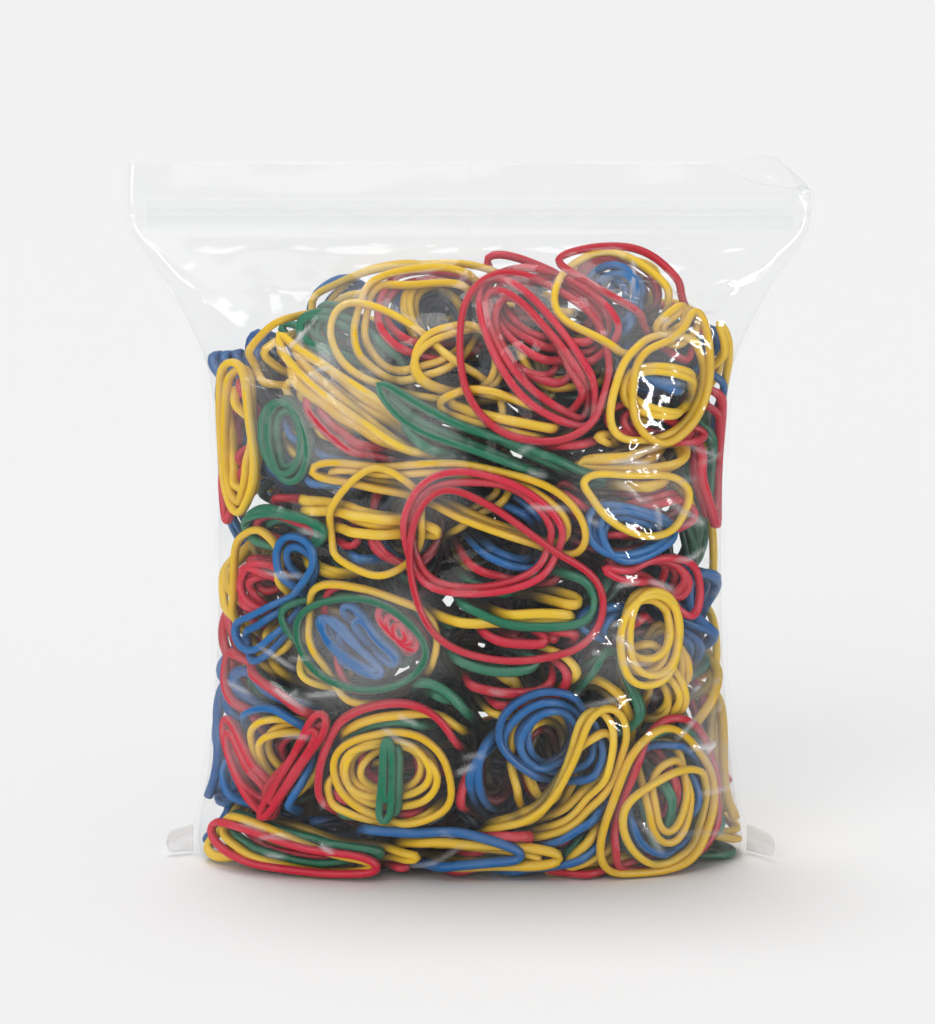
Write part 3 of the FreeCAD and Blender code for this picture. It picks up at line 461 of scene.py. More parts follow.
        (-10, 89.5)]),
    ("gg", 2, [(-32.6, 81.2), (-34.7, 79.4), (-35.2, 75.5), (-34.9, 71.7), (-33.5, 68.1), (-31.7, 66.1),
        (-29.7, 67), (-27.9, 69), (-27, 72), (-27.3, 75.2), (-28.5, 77.6), (-30.3, 80.6)]),
    ("yyy", 1, [(-39.9, 86.6), (-38.2, 85.3), (-37.6, 81.5), (-37, 77), (-36.4, 72.6), (-36.7, 68.1),
        (-37.6, 64.3), (-39.7, 60.4), (-42.2, 66), (-42.5, 76), (-42, 84)]),
    ("ggg", 1, [(-28.5, 94.4), (-29.7, 92.6), (-28.5, 90), (-26.2, 88.9), (-24.1, 88.3), (-17, 85),
        (-12, 85), (-18, 92), (-25, 95.5)]),
    ("rrr", 1, [(-28.5, 84.1), (-25.3, 82.3), (-22.1, 80.6), (-19.4, 78.8), (-16.5, 76.1), (-13.3, 74.6),
        (-6, 72), (-8, 69.5), (-18, 72.5), (-27, 79.5)]),
    ("yy", 1, [(-31.1, 84.1), (-29.1, 82.9), (-26.2, 81.5), (-23.8, 80.3), (-14, 75), (-12, 71.5),
        (-26, 75.5), (-33, 81)]),
    ("yy", 1, [(-23.5, 84.6), (-19.8, 81.2), (-15.5, 78), (-10.5, 75), (-4, 73), (2, 75), (-6, 79),
        (-16, 85)]),
    ("gr", 1, [(-19, 90), (-15, 86.5), (-11, 83), (-5, 82), (-6, 87), (-13, 92), (-18, 95)]),
    ("by", 1, [(-34.4, 78.2), (-31.7, 75.2), (-28.5, 72.9), (-25.6, 71.7), (-16, 70), (-17, 66),
        (-28, 68), (-35, 74)]),
    ("by", 1, [(-33.8, 73.5), (-32.6, 70.2), (-31.7, 67.3), (-28, 61), (-31, 57), (-35.5, 64),
        (-37, 73)]),
    ("gg", 1, [(-26.8, 76.4), (-23.8, 75.2), (-18, 74.4), (-8, 74), (-6, 70), (-18, 69.5), (-27, 72.5)]),
    ("rr", 1, [(-38.2, 74.2), (-39, 69.6), (-41, 65.2), (-41.5, 58), (-42.5, 66), (-42, 78), (-40, 84)]),
    ("yr", 1, [(-20, 98), (-24, 97), (-27, 93), (-24, 88), (-16, 86), (-10, 91), (-13, 97)]),
    ("yyg", 1, [(-36, 90), (-31, 94), (-24, 94), (-20, 88), (-26, 82), (-33, 82), (-38, 85)]),
    # a second layer under them
    ("rg", 1, [(-11, 14.5), (-6.7, 17.4), (-3, 19.3), (4, 22), (8, 19), (2, 14), (-6, 10.5)]),
    ("bb", 1, [(-35.5, 8.6), (-31, 9.4), (-26, 9.7), (-15, 10.5), (-12, 8), (-22, 6.6), (-34, 6.2)]),
    ("rbg", 1, [(-41, 37), (-36, 34), (-30, 30), (-27, 26), (-31, 23), (-38, 26), (-42, 31)]),
    ("ybr", 1, [(-41.5, 36), (-40.5, 31), (-40, 25), (-37, 22), (-34, 27), (-35, 34), (-38, 38)]),
    ("grg", 1, [(-31, 33), (-25, 32), (-18, 33), (-16, 29), (-24, 26), (-32, 28)]),
]


# one closed loop about its own middle: (w/2 cos, h/2 sin) of a turning angle, rounded for narrow loops,
# with a slow ripple of the radius; a band with two turns lies as two small rings, one a little larger
def loopShape(width, height, tilt, turns, rng):
    angle = np.linspace(0.0, 2 * np.pi * turns, 400, endpoint=False)
    slim = min(width, height) / max(width, height)
    power = 1.0 if slim > 0.45 else 0.72
    cosine, sine = np.cos(angle), np.sin(angle)
    u = width / 2 * np.sign(cosine) * np.abs(cosine) ** power
    v = height / 2 * np.sign(sine) * np.abs(sine) ** power
    phase = rng.uniform(0, 2 * np.pi, 4)
    ripple = bands["ripple"]
    swell = 1 + ripple * slim * np.sin(2 * angle + phase[0])
    swell = swell + 0.6 * ripple * slim * np.sin(3 * angle + phase[1])
    u, v = u * swell, v * swell
    longest = max(width, height)
    bow = 0.20 * longest * (1 - slim) * rng.uniform(-1, 1)
    lengthwise = u if width > height else v
    swing = np.sin(2 * np.pi * lengthwise / longest * 1.5 + phase[2])
    wave = 0.03 * longest * rng.uniform(0.3, 1.0) * swing
    if width > height:
        v = v + bow * (2 * u / longest) ** 2 + wave
    else:
        u = u + bow * (2 * v / longest) ** 2 + wave
    if turns == 2:
        slow = np.cos(angle / 2 + phase[2])
        u = u * (1 + 0.10 * slow) + 0.07 * width * slow
        v = v * (1 + 0.10 * slow) + 0.07 * height * np.sin(angle / 2 + phase[3])
    lean = math.radians(tilt)
    across = u * math.cos(lean) - v * math.sin(lean)
    upward = u * math.sin(lean) + v * math.cos(lean)
    return np.stack([across, upward], axis=-1)


# the length of a closed line: the sum of its steps
def closedLength(points):
    return float(np.linalg.norm(np.roll(points, -1, axis=0) - points, axis=1).sum())


# the same closed line with its points evenly spaced, read off by distance along it
def evenly(points, count):
    ring = np.vstack([points, points[:1]])
    along = np.concatenate([[0.0], np.cumsum(np.linalg.norm(np.diff(ring, axis=0), axis=1))])
    wanted = np.linspace(0.0, along[-1], count, endpoint=False)
    return np.stack([np.interp(wanted, along, ring[:, k]) for k in range(ring.shape[1])], axis=-1)


# each value becomes half itself and a quarter of each neighbour, as often as passes says
def smoothRing(values, passes):
    for _ in range(passes):
        values = 0.5 * values + 0.25 * (np.roll(values, 1, axis=0) + np.roll(values, -1, axis=0))
    return values


# the heap grows inwards from the film: a map of lap by height holds how deep it already is. A new band
# lies at the map's depth under its own path, and eases off each bump by distance^2 / (2 stiffRadius)
class Heap:
    def __init__(self):
        cell = bands["cell"]
        self.columns = int(round(4 * bag["halfLap"] / cell))
        self.rows = int(110 / cell)
        self.depth = np.full((self.rows, self.columns), bands["underFilm"])
        self.clear = np.full((self.rows, self.columns), 3.0)     # free depth over the first band
        reach = int(math.ceil(bands["touch"] / cell))
        dz, ds = np.meshgrid(np.arange(-reach, reach + 1), np.arange(-reach, reach + 1), indexing="ij")
        away = np.hypot(dz, ds) * cell
        near = away < bands["touch"]
        self.dz, self.ds, self.away = dz[near], ds[near], away[near]

    # row and column of the map under a lap and a height
    def cells(self, s, z):
        cell = bands["cell"]
        column = np.floor((s + 2 * bag["halfLap"]) / cell).astype(int) % self.columns
        row = np.clip(np.floor(z / cell).astype(int), 0, self.rows - 1)
        return row, column

    # the depth a band's middle takes at each point of its path
    def lay(self, path):
        row, column = self.cells(path[:, 0], path[:, 1])
        need = self.depth[row, column]
        count = len(path)
        spacing = bands["length"] / count
        lifted = need.copy()
        for shift in range(1, int(9.0 / spacing)):
            ease = (shift * spacing) ** 2 / (2 * bands["stiffRadius"])
            lifted = np.maximum(lifted, np.maximum(np.roll(need, shift), np.roll(need, -shift)) - ease)
        return smoothRing(lifted, 4)

    # a laid band deepens the map all round its path, as a ball of radius touch would
    def press(self, path, depth):
        row, column = self.cells(path[:, 0], path[:, 1])
        rows = np.clip(row[:, None] + self.dz, 0, self.rows - 1)
        columns = (column[:, None] + self.ds) % self.columns
        reach = depth[:, None] + np.sqrt(bands["touch"] ** 2 - self.away**2)
        np.maximum.at(self.depth, (rows, columns), np.broadcast_to(reach, rows.shape))
        half, radius = bands["width"] / 2, bands["thickness"] / 2
        body = self.away < half
        cap = np.sqrt(np.maximum(0.0, half**2 - self.away[body] ** 2)) * radius / half
        face = depth[:, None] - cap
        np.minimum.at(self.clear, (rows[:, body], columns[:, body]), face)


heap = Heap()
topX, topZ = np.array(bands["heapTop"], dtype=float).T
rng = np.random.default_rng(bands["seed"])
laidBands = []
colourNames = {"y": "yellow", "r": "red", "g": "green", "b": "blue"}


# keeps a band's points in space, with how far it lies under the outermost band there
def keepBand(colour, path, depth):
    both = np.concatenate([insideBag(path[:, 0], path[:, 1], depth), path, depth[:, None]], axis=1)
    ring = np.vstack([both, both[:1]])
    along = np.concatenate([[0.0], np.cumsum(np.linalg.norm(np.diff(ring[:, :3], axis=0), axis=1))])
    wanted = np.linspace(0.0, along[-1], bands["points"], endpoint=False)
    even = np.stack([np.interp(wanted, along, ring[:, k]) for k in range(6)], axis=-1)
    laidBands.append((colour, even[:, :3], even[:, 3:]))


# lays a band whose line round the bag is already drawn
def layLine(colour, line):
    path = evenly(line, bands["points"])
    path[:, 1] = np.maximum(path[:, 1], 1.0)
    x = insideBag(path[:, 0], path[:, 1], np.zeros(len(path)))[:, 0]
    path[:, 1] = np.minimum(path[:, 1], np.interp(x, topX, topZ) + 1.0)
    path = smoothRing(path, 10)
    path = evenly(path, bands["points"])
    depth = heap.lay(path)
    _, halfDepth, _ = outlineAt(path[:, 1])
    depth = np.minimum(depth, np.maximum(halfDepth - bands["middleGap"], bands["underFilm"]))
    heap.press(path, depth)
    keepBand(colour, path, depth)


# lays one band: the loop is scaled until its length in the bag is a real band's, then dropped on the heap,
# and left out if the heap has no room for it
def layBand(colour, s, z, shape):
    wanted = bands["length"] * (1 + bands["lengthSpread"] * rng.uniform(-1, 0.4))
    scale = 1.0
    for _ in range(3):
        path = evenly(shape * scale, bands["points"]) + np.array([s, z])
        path[:, 1] += max(0.0, 1.0 - path[:, 1].min())
        x = insideBag(path[:, 0], path[:, 1], np.zeros(len(path)))[:, 0]
        over = path[:, 1] - np.interp(x, topX, topZ)
        path[:, 1] -= 0.9 * max(0.0, over.max())
        over = np.maximum(0.0, over - 0.9 * max(0.0, over.max()))
        path = smoothRing(np.stack([path[:, 0], path[:, 1] - over], axis=-1), 6)
        depth = heap.lay(path)
        points = insideBag(path[:, 0], path[:, 1], depth)
        scale *= wanted / closedLength(points)
    _, halfDepth, _ = outlineAt(path[:, 1])
    if np.any(depth > halfDepth - bands["middleGap"]):
        return
    heap.press(path, depth)
    keepBand(colour, path, depth)


# a bundle: one loop again and again with small changes, each half a fan step further to either side
def layBundle(s, z, width, height, tilt, turns, colours):
    shape = loopShape(width, height, tilt, turns, rng)
    heading = rng.uniform(0, 2 * np.pi)
    for number, letter in enumerate(colours):
        fan = bands["fanStep"] * number * (1 if turns == 1 else 0.6)
        own = loopShape(width * rng.uniform(0.93, 1.07), height * rng.uniform(0.93, 1.07),
                        tilt + rng.uniform(-7, 7), turns, rng)
        mixed = 0.55 * shape + 0.45 * own
        side = (-1) ** number
        ownS = s + side * fan / 2 * math.cos(heading) + rng.uniform(-0.5, 0.5)
        ownZ = z + side * fan / 2 * math.sin(heading) + rng.uniform(-0.5, 0.5)
        layBand(colourNames[letter], ownS, ownZ, mixed)


# a closed Catmull-Rom line through the drawn points, in lap and height
def loopThrough(drawnPoints, steps=24):
    knots = np.array([(lapOfX(x, z), z) for x, z in drawnPoints])
    f = np.linspace(0.0, 1.0, steps, endpoint=False)[None, :, None]
    p0, p1, p2, p3 = [np.roll(knots, shift, axis=0)[:, None, :] for shift in (1, 0, -1, -2)]
    line = (p0 * (-f**3 + 2 * f**2 - f) + p1 * (3 * f**3 - 5 * f**2 + 2)
            + p2 * (-3 * f**3 + 4 * f**2 + f) + p3 * (f**3 - f**2)) / 2
    return line.reshape(-1, 2)


# strand k of a drawn loop: narrowed along its two own axes by k steps, moved aside, leaned and waved a
# little; a small loop is wound round as often as a real band needs, each round just inside the last
def layDrawn(letters, turns, drawnPoints):
    line = loopThrough(drawnPoints)
    middle = line.mean(axis=0)
    round0 = line - middle
    axes = np.linalg.svd(round0, full_matrices=False)[2]
    reach = 1.41 * np.sqrt(np.mean((round0 @ axes.T) ** 2, axis=0))
    for number, letter in enumerate(letters):
        narrow = 1 - 0.4 * bands["beside"] * number / reach.mean()
        rounds = max(turns, math.ceil(bands["shortest"] / (closedLength(line) * max(narrow, 0.6))))
        angle = np.linspace(0, 2 * np.pi * rounds, len(line) * rounds, endpoint=False)
        phase = rng.uniform(0, 2 * np.pi, 3)
        step = bands["beside"] * number * rng.uniform(0.75, 1.25)
        inward = step + bands["beside"] * 0.55 * (rounds - 1) * (1 + np.cos(angle / rounds + phase[0]))
        waves = np.sin(2 * angle / rounds + phase[1]) + 0.6 * np.sin(3 * angle + phase[2])
        inward = inward + (0.35 + 0.15 * number) * waves
        shares = [np.minimum(inward / reach[0], 0.4), np.minimum(inward / reach[1], 0.36)]
        narrowed = 1 - np.stack(shares, axis=-1)
        aside = max(0.0, step - 0.4 * reach[1]) * rng.choice([-1.0, 1.0])
        own = (np.tile(round0 @ axes.T, (rounds, 1)) * narrowed) @ axes + axes[1] * aside
        own = own + bands["roundsApart"] * (rounds > 1) * np.cos(angle / rounds + phase[2])[:, None] * axes[0]
        lean = math.radians(rng.normal(0, 3.5)) * min(number, 3)
        own = own @ np.array([[math.cos(lean), math.sin(lean)], [-math.sin(lean), math.cos(lean)]])
        drift = rng.normal(0, 0.12 + 0.3 * min(number, 3), 2)
        layLine(colourNames[letter], own + middle + drift)


for letters, turns, drawnPoints in drawnLoops:
    layDrawn(letters, turns, drawnPoints)
lengths = [closedLength(points) for _, points, _ in laidBands]
print(f"{len(laidBands)} bands laid by hand, {min(lengths):.0f} to {max(lengths):.0f} mm round")


# how full the heap already is round a place, from 0 to 1
def fullness(s, z, reach):
    around = np.linspace(0, 2 * np.pi, 16, endpoint=False)
    row, column = heap.cells(s + reach[0] * np.cos(around), np.clip(z + reach[1] * np.sin(around), 1, 104))
    _, halfDepth, _ = outlineAt(np.clip(z, 1, 104))
    return float(heap.depth[row, column].mean() / (halfDepth - bands["middleGap"]))


# the rest of the heap, all round the bag: each bundle goes where the heap is emptiest, and once many have
# found no room the bands are mostly wound double and laid one or two at a time
refused = 0
while len(laidBands) < bands["most"] and refused < bands["refusedMost"]:
    crowded = refused > bands["crowdedAfter"]
    slim = rng.choice([0.10, 0.22, 0.4, 0.65, 0.9])
    turns = 2 if rng.random() < (0.85 if crowded else 0.3) else 1
    around = bands["length"] / turns / math.pi
    width, height = around * 2 / (1 + slim), around * 2 * slim / (1 + slim)
    tilt = rng.normal(0, 38) if turns == 1 else rng.uniform(0, 180)
    spots = [(rng.uniform(-114, 114), rng.uniform(2, 103)) for _ in range(bands["spotsTried"])]
    s, z = min(spots, key=lambda spot: fullness(*spot, (width * 0.4, height * 0.4)))
    size = int(rng.integers(1, 3 if crowded else 6))
    letters = rng.choice(list("yyyrrrggbb"), size=size)
    colours = letters[0] * size if rng.random() < 0.5 else "".join(letters)
    before = len(laidBands)
    layBundle(s, z, width, height, tilt, turns, colours)
    refused += len(laidBands) == before
print(f"{len(laidBands)} bands laid in all")


# a rounded rectangle of 8 points carried along a band: point + across * p + up * q, where up leans to the
# direction that the band's loop faces
def bandMesh(points):
    ahead = np.roll(points, -1, axis=0) - np.roll(points, 1, axis=0)
    ahead /= np.linalg.norm(ahead, axis=1, keepdims=True)
    middle = points - points.mean(axis=0)
    facing = np.linalg.svd(middle, full_matrices=False)[2][2]
    outward = points * np.array([0.25, 1.0, 0.0])
    if np.dot(facing, outward.mean(axis=0)) < 0:
        facing = -facing
    up = facing - ahead * (ahead @ facing)[:, None]
    up = smoothRing(up / np.maximum(np.linalg.norm(up, axis=1, keepdims=True), 0.2), 4)
    up -= ahead * np.sum(ahead * up, axis=1, keepdims=True)
    up /= np.linalg.norm(up, axis=1, keepdims=True)
    across = np.cross(ahead, up)
    t, w = bands["thickness"] / 2, bands["width"] / 2
    profile = np.array([(t, 0.45 * w), (0.55 * t, w), (-0.55 * t, w), (-t, 0.45 * w),
                        (-t, -0.45 * w), (-0.55 * t, -w), (0.55 * t, -w), (t, -0.45 * w)])
    rings = (points[:, None, :] + across[:, None, :] * profile[None, :, :1]
             + up[:, None, :] * profile[None, :, 1:])
    n, k = rings.shape[:2]
    i, j = np.meshgrid(np.arange(n), np.arange(k), indexing="ij")
    a, b = i * k + j, i * k + (j + 1) % k
    c, d = ((i + 1) % n) * k + (j + 1) % k, ((i + 1) % n) * k + j
    faces = np.stack([a, d, c, b], axis=-1).reshape(-1, 4)
    return rings.reshape(-1, 3), faces


# one mesh from vertices and four-sided faces, all smooth
def meshFrom(name, vertices, faces):
    mesh = bpy.data.meshes.new(name)
    mesh.vertices.add(len(vertices))
    mesh.vertices.foreach_set("co", np.ascontiguousarray(vertices, dtype=np.float32).ravel())
    mesh.loops.add(faces.size)
    mesh.loops.foreach_set("vertex_index", faces.astype(np.int32).ravel())
    mesh.polygons.add(len(faces))
    mesh.polygons.foreach_set("loop_start", np.arange(0, faces.size, 4, dtype=np.int32))
    mesh.update(calc_edges=True)
    mesh.validate()
    mesh.polygons.foreach_set("use_smooth", np.ones(len(mesh.polygons), dtype=bool))
    piece = bpy.data.objects.new(name, mesh)
    bpy.context.scene.collection.objects.link(piece)
    return piece


# one number per vertex, for the materials to read
def pointAttribute(piece, name, values):
    layer = piece.data.attributes.new(name, "FLOAT", "POINT")
    layer.data.foreach_set("value", np.ascontiguousarray(values, dtype=np.float32))


tanglePieces = {}


# joins the bands by colour, depth and height, like the CAD's nodes; each point carries a painted shade, 0 for
# an outermost band and 1 where (depth - outermost depth - 1) reaches the shade depth
def buildTangles():
    groups = {}
    for number, (colour, points, place) in enumerate(laidBands):
        y, z = points[:, 1].mean(), points[:, 2].mean()
        depth = "middle" if abs(y) < 6.5 else "front" if y < 0 else "back"
        level = ("lower", "centre", "upper")[int(z > 33) + int(z > 64)]
        groups.setdefault((colour, depth, level), []).append((number, points, place))
    for (colour, depth, level), members in sorted(groups.items()):
        vertices, faces, tone, paintedShade, start = [], [], [], [], 0
        for number, points, place in members:
            v, f = bandMesh(points)
            vertices.append(v)
            faces.append(f + start)
            tone.append(np.full(len(v), (number * 0.618) % 1.0))
            # painted shade per point, from how far the band lies under the outermost band at its place
            row, column = heap.cells(place[:, 0], place[:, 1])
            atFront = (place[:, 0] + bag["halfLap"]) % (4 * bag["halfLap"]) < 2 * bag["halfLap"]
            shade = np.where(atFront, bands["shade"], bands["backShade"])
            under = np.clip((place[:, 2] - heap.clear[row, column] - 1.0) / shade, 0, 1)
            paintedShade.append(np.repeat(smoothRing(under, 3), len(v) // len(points)))
            start += len(v)
        piece = meshFrom(f"tangle_{colour}_{depth}_{level}", np.vstack(vertices) * mm, np.vstack(faces))
        pointAttribute(piece, "tone", np.concatenate(tone))
        pointAttribute(piece, "paintedShade", np.concatenate(paintedShade))
        tanglePieces[(colour, depth, level)] = piece
    print(f"{len(tanglePieces)} tangles, {sum(len(p.data.polygons) for p in tanglePieces.values())} faces")


buildTangles()

film = {
    "cling": 14.0,          # the film hugs the bands as closely as a ball of this radius, in mm
    "clingMost": 1.1,       # how far it may sink between them
    "cell": 0.4,
}

# creases that stand out of the front film: from x, z to x, z, then height and width, in mm
frontCreases = [
    (15, 66.5, 38, 61.5, 0.55, 0.9), (22, 58.5, 40, 56.0, 0.5, 0.8), (16, 43.0, 30, 39.5, 0.5, 0.9),
    (22, 38.0, 39, 34.5, 0.45, 0.8), (21, 30.5, 31, 20.0, 0.45, 0.9), (22, 97.5, 38, 91.0, 0.5, 0.9),
    (-40, 83.0, -28, 80.5, 0.5, 0.8), (-43, 29.5, -36, 24.0, 0.5, 0.8), (38, 30.0, 45.5, 3.0, 0.9, 1.4),
    (-28, 99.0, -12, 60.0, 0.5, 1.6), (-27, 48.0, -8, 33.0, 0.4, 1.5), (39.0, 88.0, 41.0, 60.0, 0.5, 1.0),
    (4, 72.0, 22, 70.0, 0.4, 0.8), (-44, 12.0, -37, 6.0, 0.5, 0.8), (-12, 8.5, 18, 7.2, 0.35, 0.9),
    (28, 76.0, 41, 78.0, 0.4, 0.8), (-36, 58.0, -30, 63.0, 0.4, 0.8), (-6, 47.0, 4, 50.5, 0.35, 0.8),
]

# painted reflections of the softboxes, as milky white patches on the film: x, z, half width, half height,
# tilt, strength
frontPaintedReflections = [
    (-21, 85, 7, 16, -14, 0.34), (-17, 40, 11, 8, 20, 0.26), (30, 92, 10, 8, -20, 0.22),
    (29, 66, 12, 5, -10, 0.20), (30, 38, 13, 5, -12, 0.20), (-38, 26, 5, 10, 0, 0.18),
    (-14, 22, 10, 8, 0, 0.06), (33, 14, 9, 11, 0, 0.08), (-8, 74, 6, 12, 10, 0.20), (8, 97, 20, 6, 4, 0.16),
    (42, 18, 3, 16, 14, 0.30), (-36, 80, 7, 8, 10, 0.16),
]


# where the film is slack and creases finely: x, z, half width, half height, number of streaks
slackPatches = [
    (30, 47, 13, 17, 22), (36, 17, 9, 12, 12), (24, 68, 16, 6, 12), (-35, 42, 7, 20, 10), (-16, 9, 24, 6, 8),
    (-8, 30, 12, 10, 6), (33, 92, 8, 8, 6), (-30, 90, 8, 5, 5),
]


# short sharp creases strewn over those patches, mostly falling a little to the right
def strewCreases(patches, seed):
    strewn = np.random.default_rng(seed)
    found = []
    for x, z, wide, high, many in patches:
        for _ in range(many):
            startX, startZ = x + strewn.uniform(-wide, wide), z + strewn.uniform(-high, high)
            lean, reach = strewn.normal(-0.2, 0.5), strewn.uniform(2.0, 9.0)
            found.append((startX, startZ, startX + reach * math.cos(lean), startZ + reach * math.sin(lean),
                          strewn.uniform(0.15, 0.45), 0.4))
    return found


# the smallest (or largest) of neighbour plus (minus) distance^2 / (2 radius), along both axes of the grid
def easeOut(grid, radius, cell, lowest):
    reach = int(math.sqrt(2 * radius * film["clingMost"] * 2) / cell)
    for axis in (0, 1):
        best = grid.copy()
        for shift in range(1, reach + 1):
            drop = (shift * cell) ** 2 / (2 * radius)
            for way in (shift, -shift):
                moved = np.roll(grid, way, axis=axis)
                if axis == 0:
                    if way > 0:
                        moved[:way] = grid[:1]
                    else:
                        moved[way:] = grid[-1:]
                best = np.minimum(best, moved + drop) if lowest else np.maximum(best, moved - drop)
        grid = best
    return grid


# how far the film may sink to lie on the bands, as an opening by a ball of radius cling
def clingMap():
    free = np.minimum(heap.clear, film["clingMost"] + 0.2)
    sunk = easeOut(easeOut(free, film["cling"], film["cell"], True), film["cling"], film["cell"], False)
    return np.clip(sunk - 0.18, 0.0, film["clingMost"])


cling = clingMap()


# the map's value at a lap and a height: the weighted mean of four cells, with the lap running round the bag
def gridLookup(grid, s, z):
    cell = film["cell"]
    i = np.clip(z / cell - 0.5, 0, grid.shape[0] - 1.001)
    j = (s + 2 * bag["halfLap"]) / cell - 0.5
    i0, j0 = np.floor(i).astype(int), np.floor(j).astype(int)
    fi, fj = i - i0, j - j0
    j0, j1 = j0 % grid.shape[1], (j0 + 1) % grid.shape[1]
    return ((grid[i0, j0] * (1 - fj) + grid[i0, j1] * fj) * (1 - fi)
            + (grid[i0 + 1, j0] * (1 - fj) + grid[i0 + 1, j1] * fj) * fi)


# height of all creases at a point: each is h exp(-(off/width)^2), fading at its two ends
def creaseHeight(x, z, creases, seed):
    total = np.zeros_like(x)
    wave = np.random.default_rng(seed)
    for x0, z0, x1, z1, high, wide in creases:
        along = np.array([x1 - x0, z1 - z0])
        length = np.hypot(*along)
        along = along / length
        u = (x - x0) * along[0] + (z - z0) * along[1]
        off = -(x - x0) * along[1] + (z - z0) * along[0]
        off = off + 0.8 * np.sin(u * 0.35 + wave.uniform(0, 6))
        fade = np.clip(np.minimum(u, length - u) / (0.35 * length), 0, 1)
        fade = fade**2 * (3 - 2 * fade)
        total += high * fade * np.exp(-((off / wide) ** 2))
    return total


# soft waves of the slack film: sines of x and z with chosen wavelengths, stronger towards the zip
def slackWave(x, z, seed):
    wave = np.random.default_rng(seed)
    total = np.zeros_like(x)
    for wavelength, high in ((34, 0.30), (21, 0.22), (13, 0.14), (8, 0.07)):
        lean = wave.uniform(-0.6, 0.6)
        total += high * np.sin(2 * np.pi * (x + lean * z) / wavelength + wave.uniform(0, 6))
    return total


# fine wrinkles: ridges across a slowly turning direction, only in patches
def wrinkles(x, z, seed):
    wave = np.random.default_rng(seed + 10)
    total = np.zeros_like(x)
    for length, high, lean in ((2.6, 0.10, 0.5), (3.7, 0.13, -0.35), (5.2, 0.15, 1.1)):
        a, b, c = wave.uniform(0, 6, 3)
        patch = np.clip(np.sin(x / 6.5 + a) * np.sin(z / 7.5 + b) + 0.25 * np.sin(x / 17.0 + c) - 0.1, 0, 1)
        along = 2 * np.pi * (x * math.sin(lean) + z * math.cos(lean)) / length
        ridge = np.sin(along + 1.3 * np.sin(x / 8.0 + b))
        total += high * patch * np.clip(ridge, 0, 1) ** 2
    return total


# a stretch of film: its height, its place on the outline, how far it bulges out, and the fine creases'
# share of that. The bulge is slack waves + creases - cling, faded out at the welds, the floor and the zip
def filmPatch(low, high, sFrom, sTo, rows, columns, seed, creases, streaks):
    z, s = np.meshgrid(np.linspace(low, high, rows), np.linspace(sFrom, sTo, columns), indexing="ij")
    place = insideBag(s, z, np.zeros_like(s))
    x = place[..., 0]
    edge = np.clip((bag["halfLap"] - np.abs((s + 57) % 114 - 57)) / 9.0, 0, 1)
    edge = edge * edge * (3 - 2 * edge)
    sink = gridLookup(cling, s, np.minimum(z, 104.0))
    floorFade = np.clip(z / 3.0, 0, 1)
    zipFade = np.clip((106.5 - z) / 5.0, 0, 1)
    slack = np.clip((z - 80.0) / 14.0, 0, 1) * zipFade
    wave = slackWave(x, z, seed)
    proud = creaseHeight(x, z, creases, seed) * floorFade
    bulge = (0.25 + 0.9 * slack) * wave * 0.5 + proud - sink * np.clip((104.0 - z) / 6.0, 0, 1)
    bulge = np.where(z < bag["hinge"] + 14, np.maximum(bulge, -sink), bulge)
    bulge = bulge * edge * floorFade * np.where(z > 104, zipFade, 1.0)
    fine = creaseHeight(x, z, streaks, seed) * edge * floorFade * np.clip((107 - z) / 4, 0, 1)
    bulge = bulge + fine + wrinkles(x, z, seed) * edge * floorFade * np.clip((107 - z) / 4, 0, 1)
    lip = np.clip((z - 112.8) / 5.8, 0, 1)
    flare = 0.9 + 0.6 * np.sin(x / 11.0 + seed) + 0.3 * np.sin(x / 4.1 + 2 * seed)
    bulge = bulge + edge * lip**1.6 * flare
    return z, place, bulge, fine


# a closed shell between two grids of points, the outer facing out
def shellPiece(name, outer, inner):
    n, k = outer.shape[:2]
    i, j = np.meshgrid(np.arange(n - 1), np.arange(k - 1), indexing="ij")
    a, b, c, d = i * k + j, i * k + j + 1, (i + 1) * k + j + 1, (i + 1) * k + j
    front = np.stack([a, b, c, d], axis=-1).reshape(-1, 4)
    border = np.concatenate([np.arange(k), np.arange(1, n) * k + k - 1,
                             (n - 1) * k + np.arange(k - 2, -1, -1), np.arange(n - 2, 0, -1) * k])
    following = np.roll(border, -1)
    rim = np.stack([following, border, border + n * k, following + n * k], axis=-1)
    return meshFrom(name, np.vstack([outer.reshape(-1, 3), inner.reshape(-1, 3)]) * mm,
                    np.vstack([front, front[:, ::-1] + n * k, rim]))


# the slanting line past which the corner curls: a point on it, its outward direction, then the radius
curl = {"x": 57.5, "z": 110.4, "normal": (0.41, 0.912), "radius": 3.2}


# the mouth's right corner curls back: u past that line becomes an arc, (r - y) sin(u/r) and
# r - (r - y) cos(u/r)
def curlCorner(points):
    nx, nz = curl["normal"]
    r = curl["radius"]
    past = (points[..., 0] - curl["x"]) * nx + (points[..., 2] - curl["z"]) * nz
    turn = np.maximum(past, 0.0) / r
    along = np.where(past > 0, (r - points[..., 1]) * np.sin(turn), past)
    back = np.where(past > 0, r - (r - points[..., 1]) * np.cos(turn), points[..., 1])
    moved = along - past
    return np.stack([points[..., 0] + moved * nx, back, points[..., 2] + moved * nz], axis=-1)


